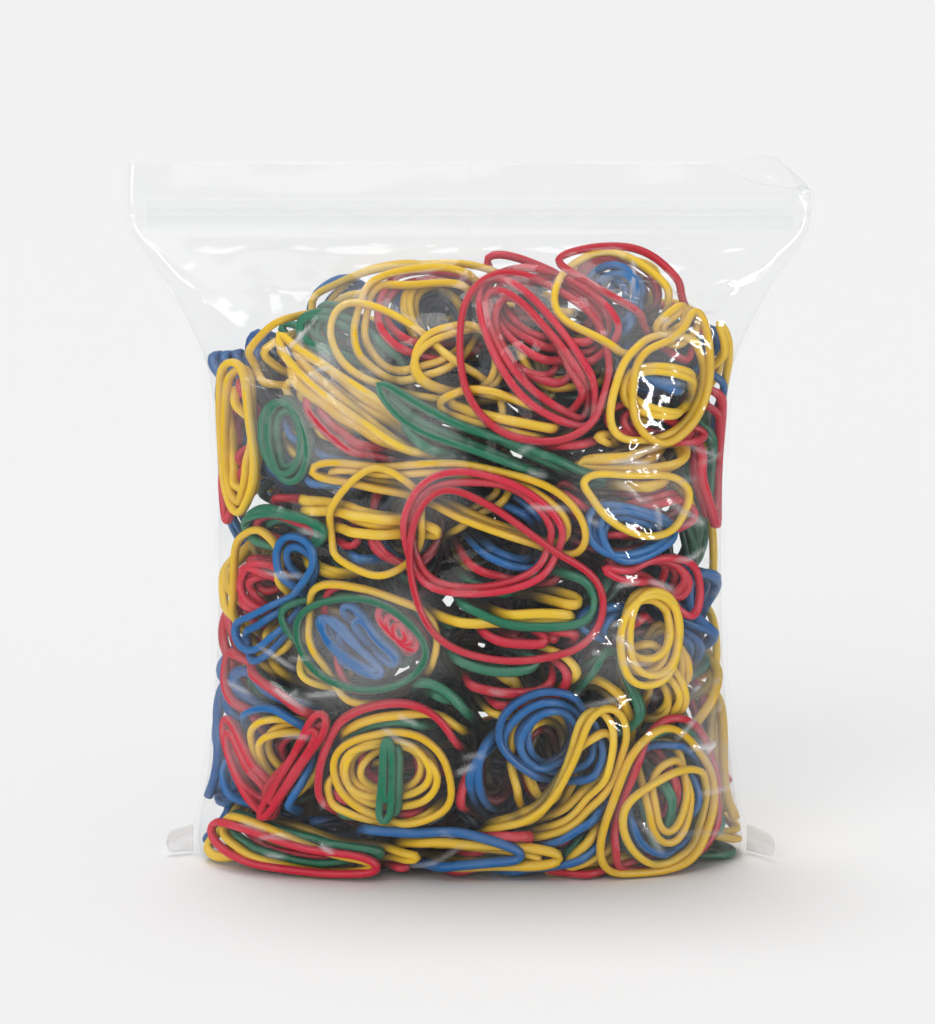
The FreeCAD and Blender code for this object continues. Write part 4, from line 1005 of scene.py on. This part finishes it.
# the two faces of a stretch of film: place + normal * bulge, and the same pushed in by the film's thickness
def filmPiece(name, low, high, sFrom, sTo, rows, columns, seed, creases, paintedReflectionPatches, streaks):
    z, place, bulge, fine = filmPatch(low, high, sFrom, sTo, rows, columns, seed, creases, streaks)
    ds, dz = np.gradient(place, axis=1), np.gradient(place, axis=0)
    normal = np.cross(ds, dz)
    normal /= np.maximum(np.linalg.norm(normal, axis=-1, keepdims=True), 1e-9)
    outer = place + normal * bulge[..., None]
    ds, dz = np.gradient(outer, axis=1), np.gradient(outer, axis=0)
    fresh = np.cross(ds, dz)
    fresh /= np.maximum(np.linalg.norm(fresh, axis=-1, keepdims=True), 1e-9)
    inner = outer - fresh * bag["film"]
    piece = shellPiece(name, curlCorner(outer), curlCorner(inner))
    # the film's haze: the painted reflections, a painted highlight where the film bulges out and along the
    # fine creases, the zip's own grey line and the milky lip
    haze = paintedReflectionStrength(outer[..., 0], z, paintedReflectionPatches) + 0.12 * np.clip(bulge - 0.3, 0, 1) * (z < 104)
    haze += 0.09 * np.exp(-(((z - 110.4) / 0.5) ** 2)) + 0.018 * np.clip((z - 112.5) / 0.5, 0, 1)
    haze += 0.55 * fine
    pointAttribute(piece, "haze", np.tile(haze.ravel(), 2))
    return piece


# painted reflection of the softboxes at a point, as milky white: each patch is strength *
# exp(-(u/halfWidth)^2 - (v/halfHeight)^2) about its own axes
def paintedReflectionStrength(x, z, paintedReflectionPatches):
    total = np.zeros_like(x)
    for x0, z0, wide, high, tilt, strength in paintedReflectionPatches:
        lean = math.radians(tilt)
        u = (x - x0) * math.cos(lean) + (z - z0) * math.sin(lean)
        v = -(x - x0) * math.sin(lean) + (z - z0) * math.cos(lean)
        total += 0.30 * strength * np.exp(-((u / wide) ** 4) - (v / high) ** 4)
    return total


half = bag["halfLap"]
hinge, top = bag["hinge"], bag["top"]
backCreases = [(-x0 * 0.9, z0, -x1 * 0.9, z1, high, wide)
               for x0, z0, x1, z1, high, wide in frontCreases[::2]]
# the back takes every second front patch of painted reflection, mirrored
backPaintedReflections = [(-x, z, wide, high, -tilt, strength)
             for x, z, wide, high, tilt, strength in frontPaintedReflections[1::2]]

frontLook = (3, frontCreases, frontPaintedReflections, strewCreases(slackPatches, 31))
backLook = (4, backCreases, backPaintedReflections, strewCreases(slackPatches, 32))

frontFilm = filmPiece("front_film", 0.0, hinge, -half, half, 188, 250, *frontLook)
backFilm = filmPiece("back_film", 0.0, hinge, half, 3 * half, 188, 250, *backLook)
mouthFilms = {
    "front_mouth_left": filmPiece("front_mouth_left", hinge, top, -half, 0, 90, 135, *frontLook),
    "front_mouth_right": filmPiece("front_mouth_right", hinge, top, 0, half, 90, 135, *frontLook),
    "back_mouth_right": filmPiece("back_mouth_right", hinge, top, half, 2 * half, 90, 135, *backLook),
    "back_mouth_left": filmPiece("back_mouth_left", hinge, top, 2 * half, 3 * half, 90, 135, *backLook),
}
print("film draped")


# a profile carried along an open path, with its two ends closed: path + across * p + up * q
def carried(name, path, across, up, profile):
    profile = np.array(profile)
    rings = (path[:, None, :] + across[:, None, :] * profile[None, :, :1]
             + up[:, None, :] * profile[None, :, 1:])
    n, k = rings.shape[:2]
    i, j = np.meshgrid(np.arange(n - 1), np.arange(k), indexing="ij")
    a, b = i * k + j, i * k + (j + 1) % k
    sides = np.stack([a, a + k, b + k, b], axis=-1).reshape(-1, 4)
    faces = sides.tolist() + [list(range(k)), list(range((n - 1) * k, n * k))[::-1]]
    mesh = bpy.data.meshes.new(name)
    mesh.from_pydata((rings.reshape(-1, 3) * mm).tolist(), [], faces)
    mesh.update()
    piece = bpy.data.objects.new(name, mesh)
    bpy.context.scene.collection.objects.link(piece)
    return piece


# smooth shading, broken where two faces meet at more than this angle
def smoothByAngle(piece, degrees):
    piece.data.polygons.foreach_set("use_smooth", np.ones(len(piece.data.polygons), dtype=bool))
    piece.data.set_sharp_from_angle(angle=math.radians(degrees))


zipLine = {
    "middle": 110.0, "half": 54.0, "webHalf": 2.4, "webFace": 0.9, "webInner": 0.7,
    "opening": 0.50, "arm": 0.25, "reach": 1.0, "stem": 0.20, "head": 0.42,
    "stations": 70,
}


# the front half's section (depth, height): a web with two hooked arms and a thin guide rib above and below
def channelProfile(part):
    faceOut, faceIn, tip = -part["webFace"], -part["webInner"], -part["webInner"] + part["reach"]
    hook = part["opening"] + part["arm"]
    arm = hook + part["arm"]
    upper = [(faceIn, part["webHalf"]), (faceIn, 1.75), (faceIn + 0.12, 1.65), (faceIn, 1.55),
             (faceIn, arm), (tip - 0.1, arm), (tip, arm - 0.1), (tip, part["opening"] + 0.06),
             (tip - 0.06, part["opening"]), (tip - part["arm"], part["opening"]),
             (tip - part["arm"], hook), (faceIn, hook)]
    lower = [(y, -z) for y, z in reversed(upper)]
    return [(faceOut, part["webHalf"])] + upper + lower + [(faceOut, -part["webHalf"])]


# the back half's section: a web, a stem and an arrow head
def ribProfile(part):
    faceOut, faceIn = part["webFace"], part["webInner"]
    upper = [(faceIn, part["webHalf"]), (faceIn, 1.75), (faceIn - 0.12, 1.65), (faceIn, 1.55),
             (faceIn, part["stem"] + 0.08), (faceIn - 0.08, part["stem"]), (-0.05, part["stem"]),
             (-0.05, part["head"]), (-0.35, part["head"] / 2)]
    lower = [(y, -z) for y, z in reversed(upper)]
    return [(faceOut, part["webHalf"])] + upper + lower + [(faceOut, -part["webHalf"])]


# a straight run of the zip from x to x
def zipPiece(name, profile, xFrom, xTo):
    x = np.linspace(xFrom, xTo, zipLine["stations"])
    path = np.stack([x, np.zeros_like(x), np.full_like(x, zipLine["middle"])], axis=-1)
    across = np.tile([0.0, 1.0, 0.0], (len(x), 1))
    up = np.tile([0.0, 0.0, 1.0], (len(x), 1))
    piece = carried(name, path, across, up, profile)
    smoothByAngle(piece, 35)
    return piece


channel, ribRow = channelProfile(zipLine), ribProfile(zipLine)[::-1]
zips = {
    "zip_channel_left": zipPiece("zip_channel_left", channel, -zipLine["half"], 0.0),
    "zip_channel_right": zipPiece("zip_channel_right", channel, 0.0, zipLine["half"]),
    "zip_rib_left": zipPiece("zip_rib_left", ribRow, -zipLine["half"], 0.0),
    "zip_rib_right": zipPiece("zip_rib_right", ribRow, 0.0, zipLine["half"]),
}


seams = {
    "weldInner": 0.03, "weldWidth": 0.85, "weldHalf": 0.11, "crimp": 1.1,
    "earRoot": 47.7, "earReach": 4.4, "earHalf": 2.35, "earThick": 0.13, "earHaze": 0.46,
    "crushFrom": 54.3, "crushTo": 55.8, "crushLow": 107.6, "crushHigh": 112.4,
    "pucker": 0.25,
}


# the melted seam: a flat strip beside the outline, x = a(z) + u, whose thickness has fine crimps
# thickness = half * (1 + 0.2 sin(2 pi z / crimp)), thinning to the outer edge
def weldPiece(name, side):
    z, u = np.meshgrid(np.linspace(0.4, bag["top"], 420), np.linspace(0, 1, 7), indexing="ij")
    a, _, _ = outlineAt(z)
    x = a + seams["weldInner"] + seams["weldWidth"] * u * (1 + 0.12 * np.sin(z * 0.55) * u)
    half = seams["weldHalf"] * (1 - 0.45 * u**2) * (1 + 0.16 * np.sin(2 * np.pi * z / seams["crimp"]))
    y = 0.22 * u * np.sin(z * 0.31) * np.clip(z / 8, 0, 1) * np.clip((104 - z) / 10, 0, 1)
    front = np.stack([side * x, y - half, z], axis=-1)
    back = np.stack([side * x, y + half, z], axis=-1)
    front, back = curlCorner(front), curlCorner(back)
    return shellPiece(name, front, back) if side > 0 else shellPiece(name, back, front)


# the flattened corner: a tab that narrows, rounds off at its tip and curls a little
def cornerPiece(name, side):
    u, v = np.meshgrid(np.linspace(0, 1, 26), np.linspace(-1, 1, 15), indexing="ij")
    tip = np.sqrt(np.maximum(0.02, 1 - np.maximum(0, (u - 0.8) / 0.2) ** 2))
    high = seams["earHalf"] * (1 - 0.22 * u) * tip
    x = seams["earRoot"] + seams["earReach"] * u
    z = 2.8 - 0.35 * u + v * high
    forward = -5.5 if side > 0 else -2.0
    y = forward * u**1.4 + 0.5 * u * np.sin(2.4 * u + 1.1 * v) + 0.16 * np.sin(5 * v + 3 * u)
    front = np.stack([side * x, y - seams["earThick"], z], axis=-1)
    back = np.stack([side * x, y + seams["earThick"], z], axis=-1)
    piece = shellPiece(name, front, back) if side < 0 else shellPiece(name, back, front)
    pointAttribute(piece, "haze", np.full(len(piece.data.vertices), seams["earHaze"]))
    return piece


# the zip's crushed end: thin, with cross ribs pressed into it
def crushPiece(name, side):
    x, z = np.meshgrid(np.linspace(seams["crushFrom"], seams["crushTo"], 17),
                       np.linspace(seams["crushLow"], seams["crushHigh"], 41), indexing="ij")
    half = 0.10 + 0.04 * np.sin(z * 6.5) * np.sin(x * 5.0)
    front = np.stack([side * x, -half, z], axis=-1)
    back = np.stack([side * x, half, z], axis=-1)
    return shellPiece(name, back, front) if side > 0 else shellPiece(name, front, back)


# the film under the fill: inside the base outline, flat with shallow puckers near its rim
def basePiece(name):
    turn, v = np.meshgrid(np.radians(np.linspace(-88.5, 88.5, 90)), np.linspace(-1, 1, 50), indexing="ij")
    a, b, m = outlineAt(np.zeros(1))
    across = np.sin(turn)
    x = (a - 0.2) * across
    y = v * (b - 0.2) * np.sqrt(1 - np.abs(across) ** m)
    rim = np.clip(1 - np.sqrt((x / a) ** 2 + (y / b) ** 2), 0, 1)
    ripple = 0.5 + 0.5 * np.sin(x * 0.9 + 2 * np.sin(y * 0.4))
    pucker = seams["pucker"] * np.clip(rim * 8, 0, 1) * np.clip(1.2 - rim * 2, 0, 1) * ripple
    low = np.stack([x, y, pucker], axis=-1)
    high = low + np.array([0, 0, bag["film"]])
    return shellPiece(name, low, high)


trimPieces = {
    "left_weld_seam": (weldPiece("left_weld_seam", -1), "left_side_weld"),
    "right_weld_seam": (weldPiece("right_weld_seam", 1), "right_side_weld"),
    "left_corner_tab": (cornerPiece("left_corner_tab", -1), "left_bottom_corner"),
    "right_corner_tab": (cornerPiece("right_corner_tab", 1), "right_bottom_corner"),
    "left_zip_crush": (crushPiece("left_zip_crush", -1), "left_zip_end"),
    "right_zip_crush": (crushPiece("right_zip_crush", 1), "right_zip_end"),
    "base_film": (basePiece("base_film"), "base_panel"),
}
print("zip, welds and base made")

# starts a node group with named inputs and outputs; gives the group, its nodes, links and end nodes
def startGroup(name, inputs, outputs):
    group = bpy.data.node_groups.new(name, "ShaderNodeTree")
    for label, kind, value in inputs:
        socket = group.interface.new_socket(name=label, in_out="INPUT", socket_type=kind)
        if value is not None:
            socket.default_value = value
    for label, kind in outputs:
        group.interface.new_socket(name=label, in_out="OUTPUT", socket_type=kind)
    return group, group.nodes.new("NodeGroupInput"), group.nodes.new("NodeGroupOutput")


# a node with its settings
def addNode(tree, kind, **settings):
    node = tree.nodes.new(kind)
    for key, value in settings.items():
        setattr(node, key, value)
    return node


# a maths node on two values, each a number or another node's output; gives its output
def addMath(tree, operation, first, second, clamp=False):
    node = addNode(tree, "ShaderNodeMath", operation=operation, use_clamp=clamp)
    for index, value in enumerate((first, second)):
        if value is None:
            continue
        if isinstance(value, (int, float)):
            node.inputs[index].default_value = value
        else:
            tree.links.new(value, node.inputs[index])
    return node.outputs[0]


# fine rubber grain: a noise of two sizes, as a mask and a height
def makeGrainGroup():
    group, start, end = startGroup(
        "rubberGrain",
        [("Vector", "NodeSocketVector", None), ("Scale", "NodeSocketFloat", 900.0),
         ("Patch", "NodeSocketFloat", 90.0)],
        [("Fine", "NodeSocketFloat"), ("Broad", "NodeSocketFloat")],
    )
    for label, size, detail in (("Fine", "Scale", 3.0), ("Broad", "Patch", 2.0)):
        noise = addNode(group, "ShaderNodeTexNoise")
        noise.inputs["Detail"].default_value = detail
        group.links.new(start.outputs["Vector"], noise.inputs["Vector"])
        group.links.new(start.outputs[size], noise.inputs["Scale"])
        group.links.new(noise.outputs["Fac"], end.inputs[label])
    return group


# dust: a pale bloom where a broad noise is high, mixed over a colour
def makeDustGroup():
    group, start, end = startGroup(
        "dustBloom",
        [("Color", "NodeSocketColor", (0.5, 0.5, 0.5, 1)), ("Dust", "NodeSocketColor", (0.8, 0.78, 0.75, 1)),
         ("Mask", "NodeSocketFloat", 0.5), ("Amount", "NodeSocketFloat", 0.2)],
        [("Color", "NodeSocketColor"), ("Cover", "NodeSocketFloat")],
    )
    ramp = addNode(group, "ShaderNodeMapRange")
    ramp.inputs["From Min"].default_value = 0.42
    ramp.inputs["From Max"].default_value = 0.72
    group.links.new(start.outputs["Mask"], ramp.inputs["Value"])
    cover = addMath(group, "MULTIPLY", ramp.outputs["Result"], start.outputs["Amount"], True)
    mix = addNode(group, "ShaderNodeMix", data_type="RGBA")
    group.links.new(cover, mix.inputs["Factor"])
    group.links.new(start.outputs["Color"], mix.inputs["A"])
    group.links.new(start.outputs["Dust"], mix.inputs["B"])
    group.links.new(mix.outputs["Result"], end.inputs["Color"])
    group.links.new(cover, end.inputs["Cover"])
    return group


# film marks: fine streaks and cloudy patches of haze, and a gentle height
def makeFilmGroup():
    group, start, end = startGroup(
        "filmMarks",
        [("Vector", "NodeSocketVector", None), ("Streak", "NodeSocketFloat", 260.0),
         ("Cloud", "NodeSocketFloat", 42.0), ("Haze", "NodeSocketFloat", 0.05)],
        [("Haze", "NodeSocketFloat"), ("Height", "NodeSocketFloat")],
    )
    stretch = addNode(group, "ShaderNodeMapping")
    stretch.inputs["Scale"].default_value = (0.35, 0.6, 1.0)
    stretch.inputs["Rotation"].default_value = (0.0, 0.35, 0.0)
    group.links.new(start.outputs["Vector"], stretch.inputs["Vector"])
    streak = addNode(group, "ShaderNodeTexNoise")
    streak.inputs["Detail"].default_value = 4.0
    group.links.new(stretch.outputs["Vector"], streak.inputs["Vector"])
    group.links.new(start.outputs["Streak"], streak.inputs["Scale"])
    cloud = addNode(group, "ShaderNodeTexNoise")
    cloud.inputs["Detail"].default_value = 3.0
    group.links.new(start.outputs["Vector"], cloud.inputs["Vector"])
    group.links.new(start.outputs["Cloud"], cloud.inputs["Scale"])
    thick = addNode(group, "ShaderNodeMapRange")
    thick.inputs["From Min"].default_value = 0.45
    thick.inputs["From Max"].default_value = 0.75
    group.links.new(cloud.outputs["Fac"], thick.inputs["Value"])
    both = addMath(group, "MULTIPLY", thick.outputs["Result"], streak.outputs["Fac"])
    group.links.new(addMath(group, "MULTIPLY", both, start.outputs["Haze"]), end.inputs["Haze"])
    group.links.new(streak.outputs["Fac"], end.inputs["Height"])
    return group


grainGroup, dustGroup, filmGroup = makeGrainGroup(), makeDustGroup(), makeFilmGroup()


# one use of a node group in a material
def placeGroup(tree, group):
    node = tree.nodes.new("ShaderNodeGroup")
    node.node_tree = group
    return node


# an empty material with its output node
def startMaterial(name):
    material = bpy.data.materials.new(name)
    material.use_nodes = True
    tree = material.node_tree
    tree.nodes.clear()
    return material, tree, addNode(tree, "ShaderNodeOutputMaterial")


rubber = {
    "yellow": {"dark": (0.72, 0.42, 0.008), "pale": (0.90, 0.60, 0.030)},
    "red": {"dark": (0.46, 0.006, 0.020), "pale": (0.68, 0.020, 0.055)},
    "green": {"dark": (0.002, 0.115, 0.055), "pale": (0.010, 0.20, 0.105)},
    "blue": {"dark": (0.002, 0.080, 0.27), "pale": (0.008, 0.15, 0.42)},
    "roughness": 0.40,
    "dust": 0.05,
    "paintedShade": 0.10,         # what is left of the colour deep in the heap, where little light comes in
}


# a band's rubber: dark to pale by band and by grain, darkened by painted shade where it lies deep in the
# heap, with a little dust on top
def rubberMaterial(colour):
    material, tree, end = startMaterial(f"{colour}Rubber")
    shades = rubber[colour]
    place = addNode(tree, "ShaderNodeTexCoord")
    grain = placeGroup(tree, grainGroup)
    grain.inputs["Scale"].default_value = 1400.0
    grain.inputs["Patch"].default_value = 110.0
    tree.links.new(place.outputs["Object"], grain.inputs["Vector"])
    tone = addNode(tree, "ShaderNodeAttribute", attribute_name="tone")
    spread = addMath(tree, "MULTIPLY", tone.outputs["Fac"], 0.65)
    amount = addMath(tree, "MULTIPLY_ADD", grain.outputs["Broad"], 0.35)
    tree.links.new(spread, amount.node.inputs[2])
    shade = addNode(tree, "ShaderNodeMix", data_type="RGBA")
    shade.inputs["A"].default_value = (*shades["dark"], 1)
    shade.inputs["B"].default_value = (*shades["pale"], 1)
    tree.links.new(amount, shade.inputs["Factor"])
    # painted shade: the colour is multiplied down towards the value below where the band lies deep under the
    # outermost one
    paintedShade = addNode(tree, "ShaderNodeAttribute", attribute_name="paintedShade")
    deep = addNode(tree, "ShaderNodeMix", data_type="RGBA", blend_type="MULTIPLY")
    deep.inputs["B"].default_value = (rubber["paintedShade"], rubber["paintedShade"], rubber["paintedShade"], 1)
    tree.links.new(paintedShade.outputs["Fac"], deep.inputs["Factor"])
    tree.links.new(shade.outputs["Result"], deep.inputs["A"])
    dust = placeGroup(tree, dustGroup)
    dust.inputs["Amount"].default_value = rubber["dust"]
    tree.links.new(deep.outputs["Result"], dust.inputs["Color"])
    tree.links.new(grain.outputs["Broad"], dust.inputs["Mask"])
    surface = addNode(tree, "ShaderNodeBsdfPrincipled")
    surface.inputs["Specular IOR Level"].default_value = 0.28
    tree.links.new(dust.outputs["Color"], surface.inputs["Base Color"])
    rough = addMath(tree, "MULTIPLY_ADD", dust.outputs["Cover"], 0.8)
    rough.node.inputs[2].default_value = rubber["roughness"]
    tree.links.new(rough, surface.inputs["Roughness"])
    bump = addNode(tree, "ShaderNodeBump")
    bump.inputs["Strength"].default_value = 0.25
    bump.inputs["Distance"].default_value = 0.0001
    tree.links.new(grain.outputs["Fine"], bump.inputs["Height"])
    tree.links.new(bump.outputs["Normal"], surface.inputs["Normal"])
    tree.links.new(surface.outputs[0], end.inputs["Surface"])
    return material


filmFinish = {
    "clear": {"haze": 0.030, "base": 0.001, "gloss": 0.014, "roughness": 0.06},
    "weld": {"haze": 0.02, "base": 0.015, "gloss": 0.010, "roughness": 0.25},
    "zip": {"haze": 0.02, "base": 0.010, "gloss": 0.010, "roughness": 0.22},
}


# see-through film: haze, which holds painted reflections and painted highlights besides the film's own
# milkiness, shows as white, and the gloss rises with facing^5; the rest passes straight through
def filmMaterial(name, finish, withPaintedShineAndHaze):
    material, tree, end = startMaterial(name)
    place = addNode(tree, "ShaderNodeTexCoord")
    marks = placeGroup(tree, filmGroup)
    marks.inputs["Haze"].default_value = finish["haze"]
    tree.links.new(place.outputs["Object"], marks.inputs["Vector"])
    bump = addNode(tree, "ShaderNodeBump")
    bump.inputs["Strength"].default_value = 0.32
    bump.inputs["Distance"].default_value = 0.0004
    tree.links.new(marks.outputs["Height"], bump.inputs["Height"])
    hazeAndPaintedShine = addMath(tree, "ADD", marks.outputs["Haze"], finish["base"], True)
    if withPaintedShineAndHaze:
        # the haze attribute: painted reflections and painted highlights on the clear film, real milkiness at
        # the zip line, the lip and the corner tabs
        paintedShineAndHaze = addNode(tree, "ShaderNodeAttribute", attribute_name="haze")
        uneven = addMath(tree, "MULTIPLY_ADD", marks.outputs["Height"], 1.2)
        uneven.node.inputs[2].default_value = 0.4
        hazeAndPaintedShine = addMath(tree, "ADD", hazeAndPaintedShine, addMath(tree, "MULTIPLY", paintedShineAndHaze.outputs["Fac"], uneven), True)
    clear = addNode(tree, "ShaderNodeBsdfTransparent")
    clear.inputs["Color"].default_value = (0.996, 0.997, 0.997, 1)
    white = addNode(tree, "ShaderNodeBsdfPrincipled")
    white.inputs["Base Color"].default_value = (0.93, 0.935, 0.945, 1)
    white.inputs["Roughness"].default_value = 0.45
    tree.links.new(bump.outputs["Normal"], white.inputs["Normal"])
    gloss = addNode(tree, "ShaderNodeBsdfGlossy")
    gloss.inputs["Roughness"].default_value = finish["roughness"]
    tree.links.new(bump.outputs["Normal"], gloss.inputs["Normal"])
    facing = addNode(tree, "ShaderNodeLayerWeight")
    facing.inputs["Blend"].default_value = 0.5
    grazing = addMath(tree, "POWER", facing.outputs["Facing"], 5.0)
    shine = addMath(tree, "MULTIPLY_ADD", grazing, 0.16, True)
    shine.node.inputs[2].default_value = finish["gloss"]
    body = addNode(tree, "ShaderNodeMixShader")
    tree.links.new(hazeAndPaintedShine, body.inputs["Fac"])
    tree.links.new(clear.outputs[0], body.inputs[1])
    tree.links.new(white.outputs[0], body.inputs[2])
    whole = addNode(tree, "ShaderNodeMixShader")
    tree.links.new(shine, whole.inputs["Fac"])
    tree.links.new(body.outputs[0], whole.inputs[1])
    tree.links.new(gloss.outputs[0], whole.inputs[2])
    tree.links.new(whole.outputs[0], end.inputs["Surface"])
    return material


clearFilm = filmMaterial("clearFilm", filmFinish["clear"], True)
weldFilm = filmMaterial("weldedFilm", filmFinish["weld"], True)
zipFilm = filmMaterial("zipFilm", filmFinish["zip"], False)
print("materials made")

rubberMaterials = {colour: rubberMaterial(colour) for colour in ("yellow", "red", "green", "blue")}
for (colour, depth, level), piece in tanglePieces.items():
    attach(piece, "bag_body")
    piece.data.materials.append(rubberMaterials[colour])
for node in [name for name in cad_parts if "_bands_" in name]:
    colour, _, depth, level = node.split("_")
    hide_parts(node)

for piece, node in ((frontFilm, "front_wall"), (backFilm, "back_wall")):
    piece.data.materials.append(clearFilm)
    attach(piece, "bag_body")
    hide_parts(node)
filmMaterials = {"clear_film": clearFilm, "zip_film": zipFilm, "welded_film": weldFilm}
for name, (piece, node) in trimPieces.items():
    slot = "clear_film" if node == "base_panel" else "zip_film" if "zip" in name else "welded_film"
    piece.data.materials.append(filmMaterials[slot])
    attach(piece, "bag_body")
    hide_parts(node)


# one piece of the mouth: takes its film material, has its place baked into its points, and the CAD node it
# stands for is hidden
def bendMouth(piece, node, slot):
    piece.data.materials.append(filmMaterials[slot])
    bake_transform(piece)
    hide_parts(node)


for name, piece in mouthFilms.items():
    face, _, sideName = name.split("_")
    bendMouth(piece, f"{face}_mouth_film", "clear_film")
for name, piece in zips.items():
    node = "zip_channel_strip" if "channel" in name else "zip_rib_strip"
    bendMouth(piece, node, "zip_film")

stage = {"floor": (0.86, 0.86, 0.86), "roughness": 0.9, "size": 60.0}


# one flat sheet of paper far larger than the view
def makeStage(part):
    x, y = np.meshgrid(np.linspace(-0.5, 0.5, 5), np.linspace(-0.5, 0.5, 5), indexing="ij")
    i, j = np.meshgrid(np.arange(4), np.arange(4), indexing="ij")
    a = i * 5 + j
    faces = np.stack([a, a + 5, a + 6, a + 1], axis=-1).reshape(-1, 4)
    vertices = np.stack([x.ravel() * part["size"], y.ravel() * part["size"], np.zeros(25)], axis=-1)
    floor = meshFrom("studio_floor", vertices, faces)
    material, tree, end = startMaterial("studioPaper")
    surface = addNode(tree, "ShaderNodeBsdfPrincipled")
    surface.inputs["Base Color"].default_value = (*part["floor"], 1)
    surface.inputs["Roughness"].default_value = part["roughness"]
    surface.inputs["Specular IOR Level"].default_value = 0.1
    tree.links.new(surface.outputs[0], end.inputs["Surface"])
    floor.data.materials.append(material)


makeStage(stage)

# broad even light: direction it comes from, strength, spread (degrees), colour
skyLamps = {
    "topSky": ((-0.10, 0.26, 1.0), 1.50, 32.0, (1.0, 0.985, 0.965)),
    "frontSky": ((-0.45, -1.0, 0.60), 1.12, 50.0, (1.0, 0.99, 0.97)),
}
# softboxes that only show as shine: place, size (m), power (W)
shineLamps = {
    "stripRight": ((0.55, -0.60, 0.22), (0.05, 0.50), 5.6),
    "boxLeft": ((-0.60, -0.60, 0.50), (0.30, 0.40), 2.2),
    "boxTop": ((0.05, -0.25, 0.80), (0.40, 0.20), 1.6),
}


# a lamp at a place, turned towards the middle of the bag
def addLamp(name, kind, place, energy):
    data = bpy.data.lights.new(name, kind)
    data.energy = energy
    lamp = bpy.data.objects.new(name, data)
    bpy.context.scene.collection.objects.link(lamp)
    lamp.location = place
    lamp.rotation_euler = (Vector((0, 0, 0.06)) - Vector(place)).to_track_quat("-Z", "Y").to_euler()
    return lamp


for name, (place, energy, spread, colour) in skyLamps.items():
    lamp = addLamp(name, "SUN", place, energy)
    lamp.data.angle = math.radians(spread)
    lamp.data.color = colour
for name, (place, size, energy) in shineLamps.items():
    lamp = addLamp(name, "AREA", place, energy)
    lamp.data.shape = "RECTANGLE"
    lamp.data.size, lamp.data.size_y = size
    lamp.visible_diffuse = False

world = bpy.data.worlds.new("studioAir")
world.use_nodes = True
world.node_tree.nodes["Background"].inputs["Color"].default_value = (0.945, 0.965, 1.0, 1)
world.node_tree.nodes["Background"].inputs["Strength"].default_value = 0.46
bpy.context.scene.world = world
bpy.context.scene.view_settings.view_transform = "Standard"
bpy.context.scene.view_settings.look = "None"
bpy.context.scene.cycles.transparent_max_bounces = 24
print("stage and lamps set")
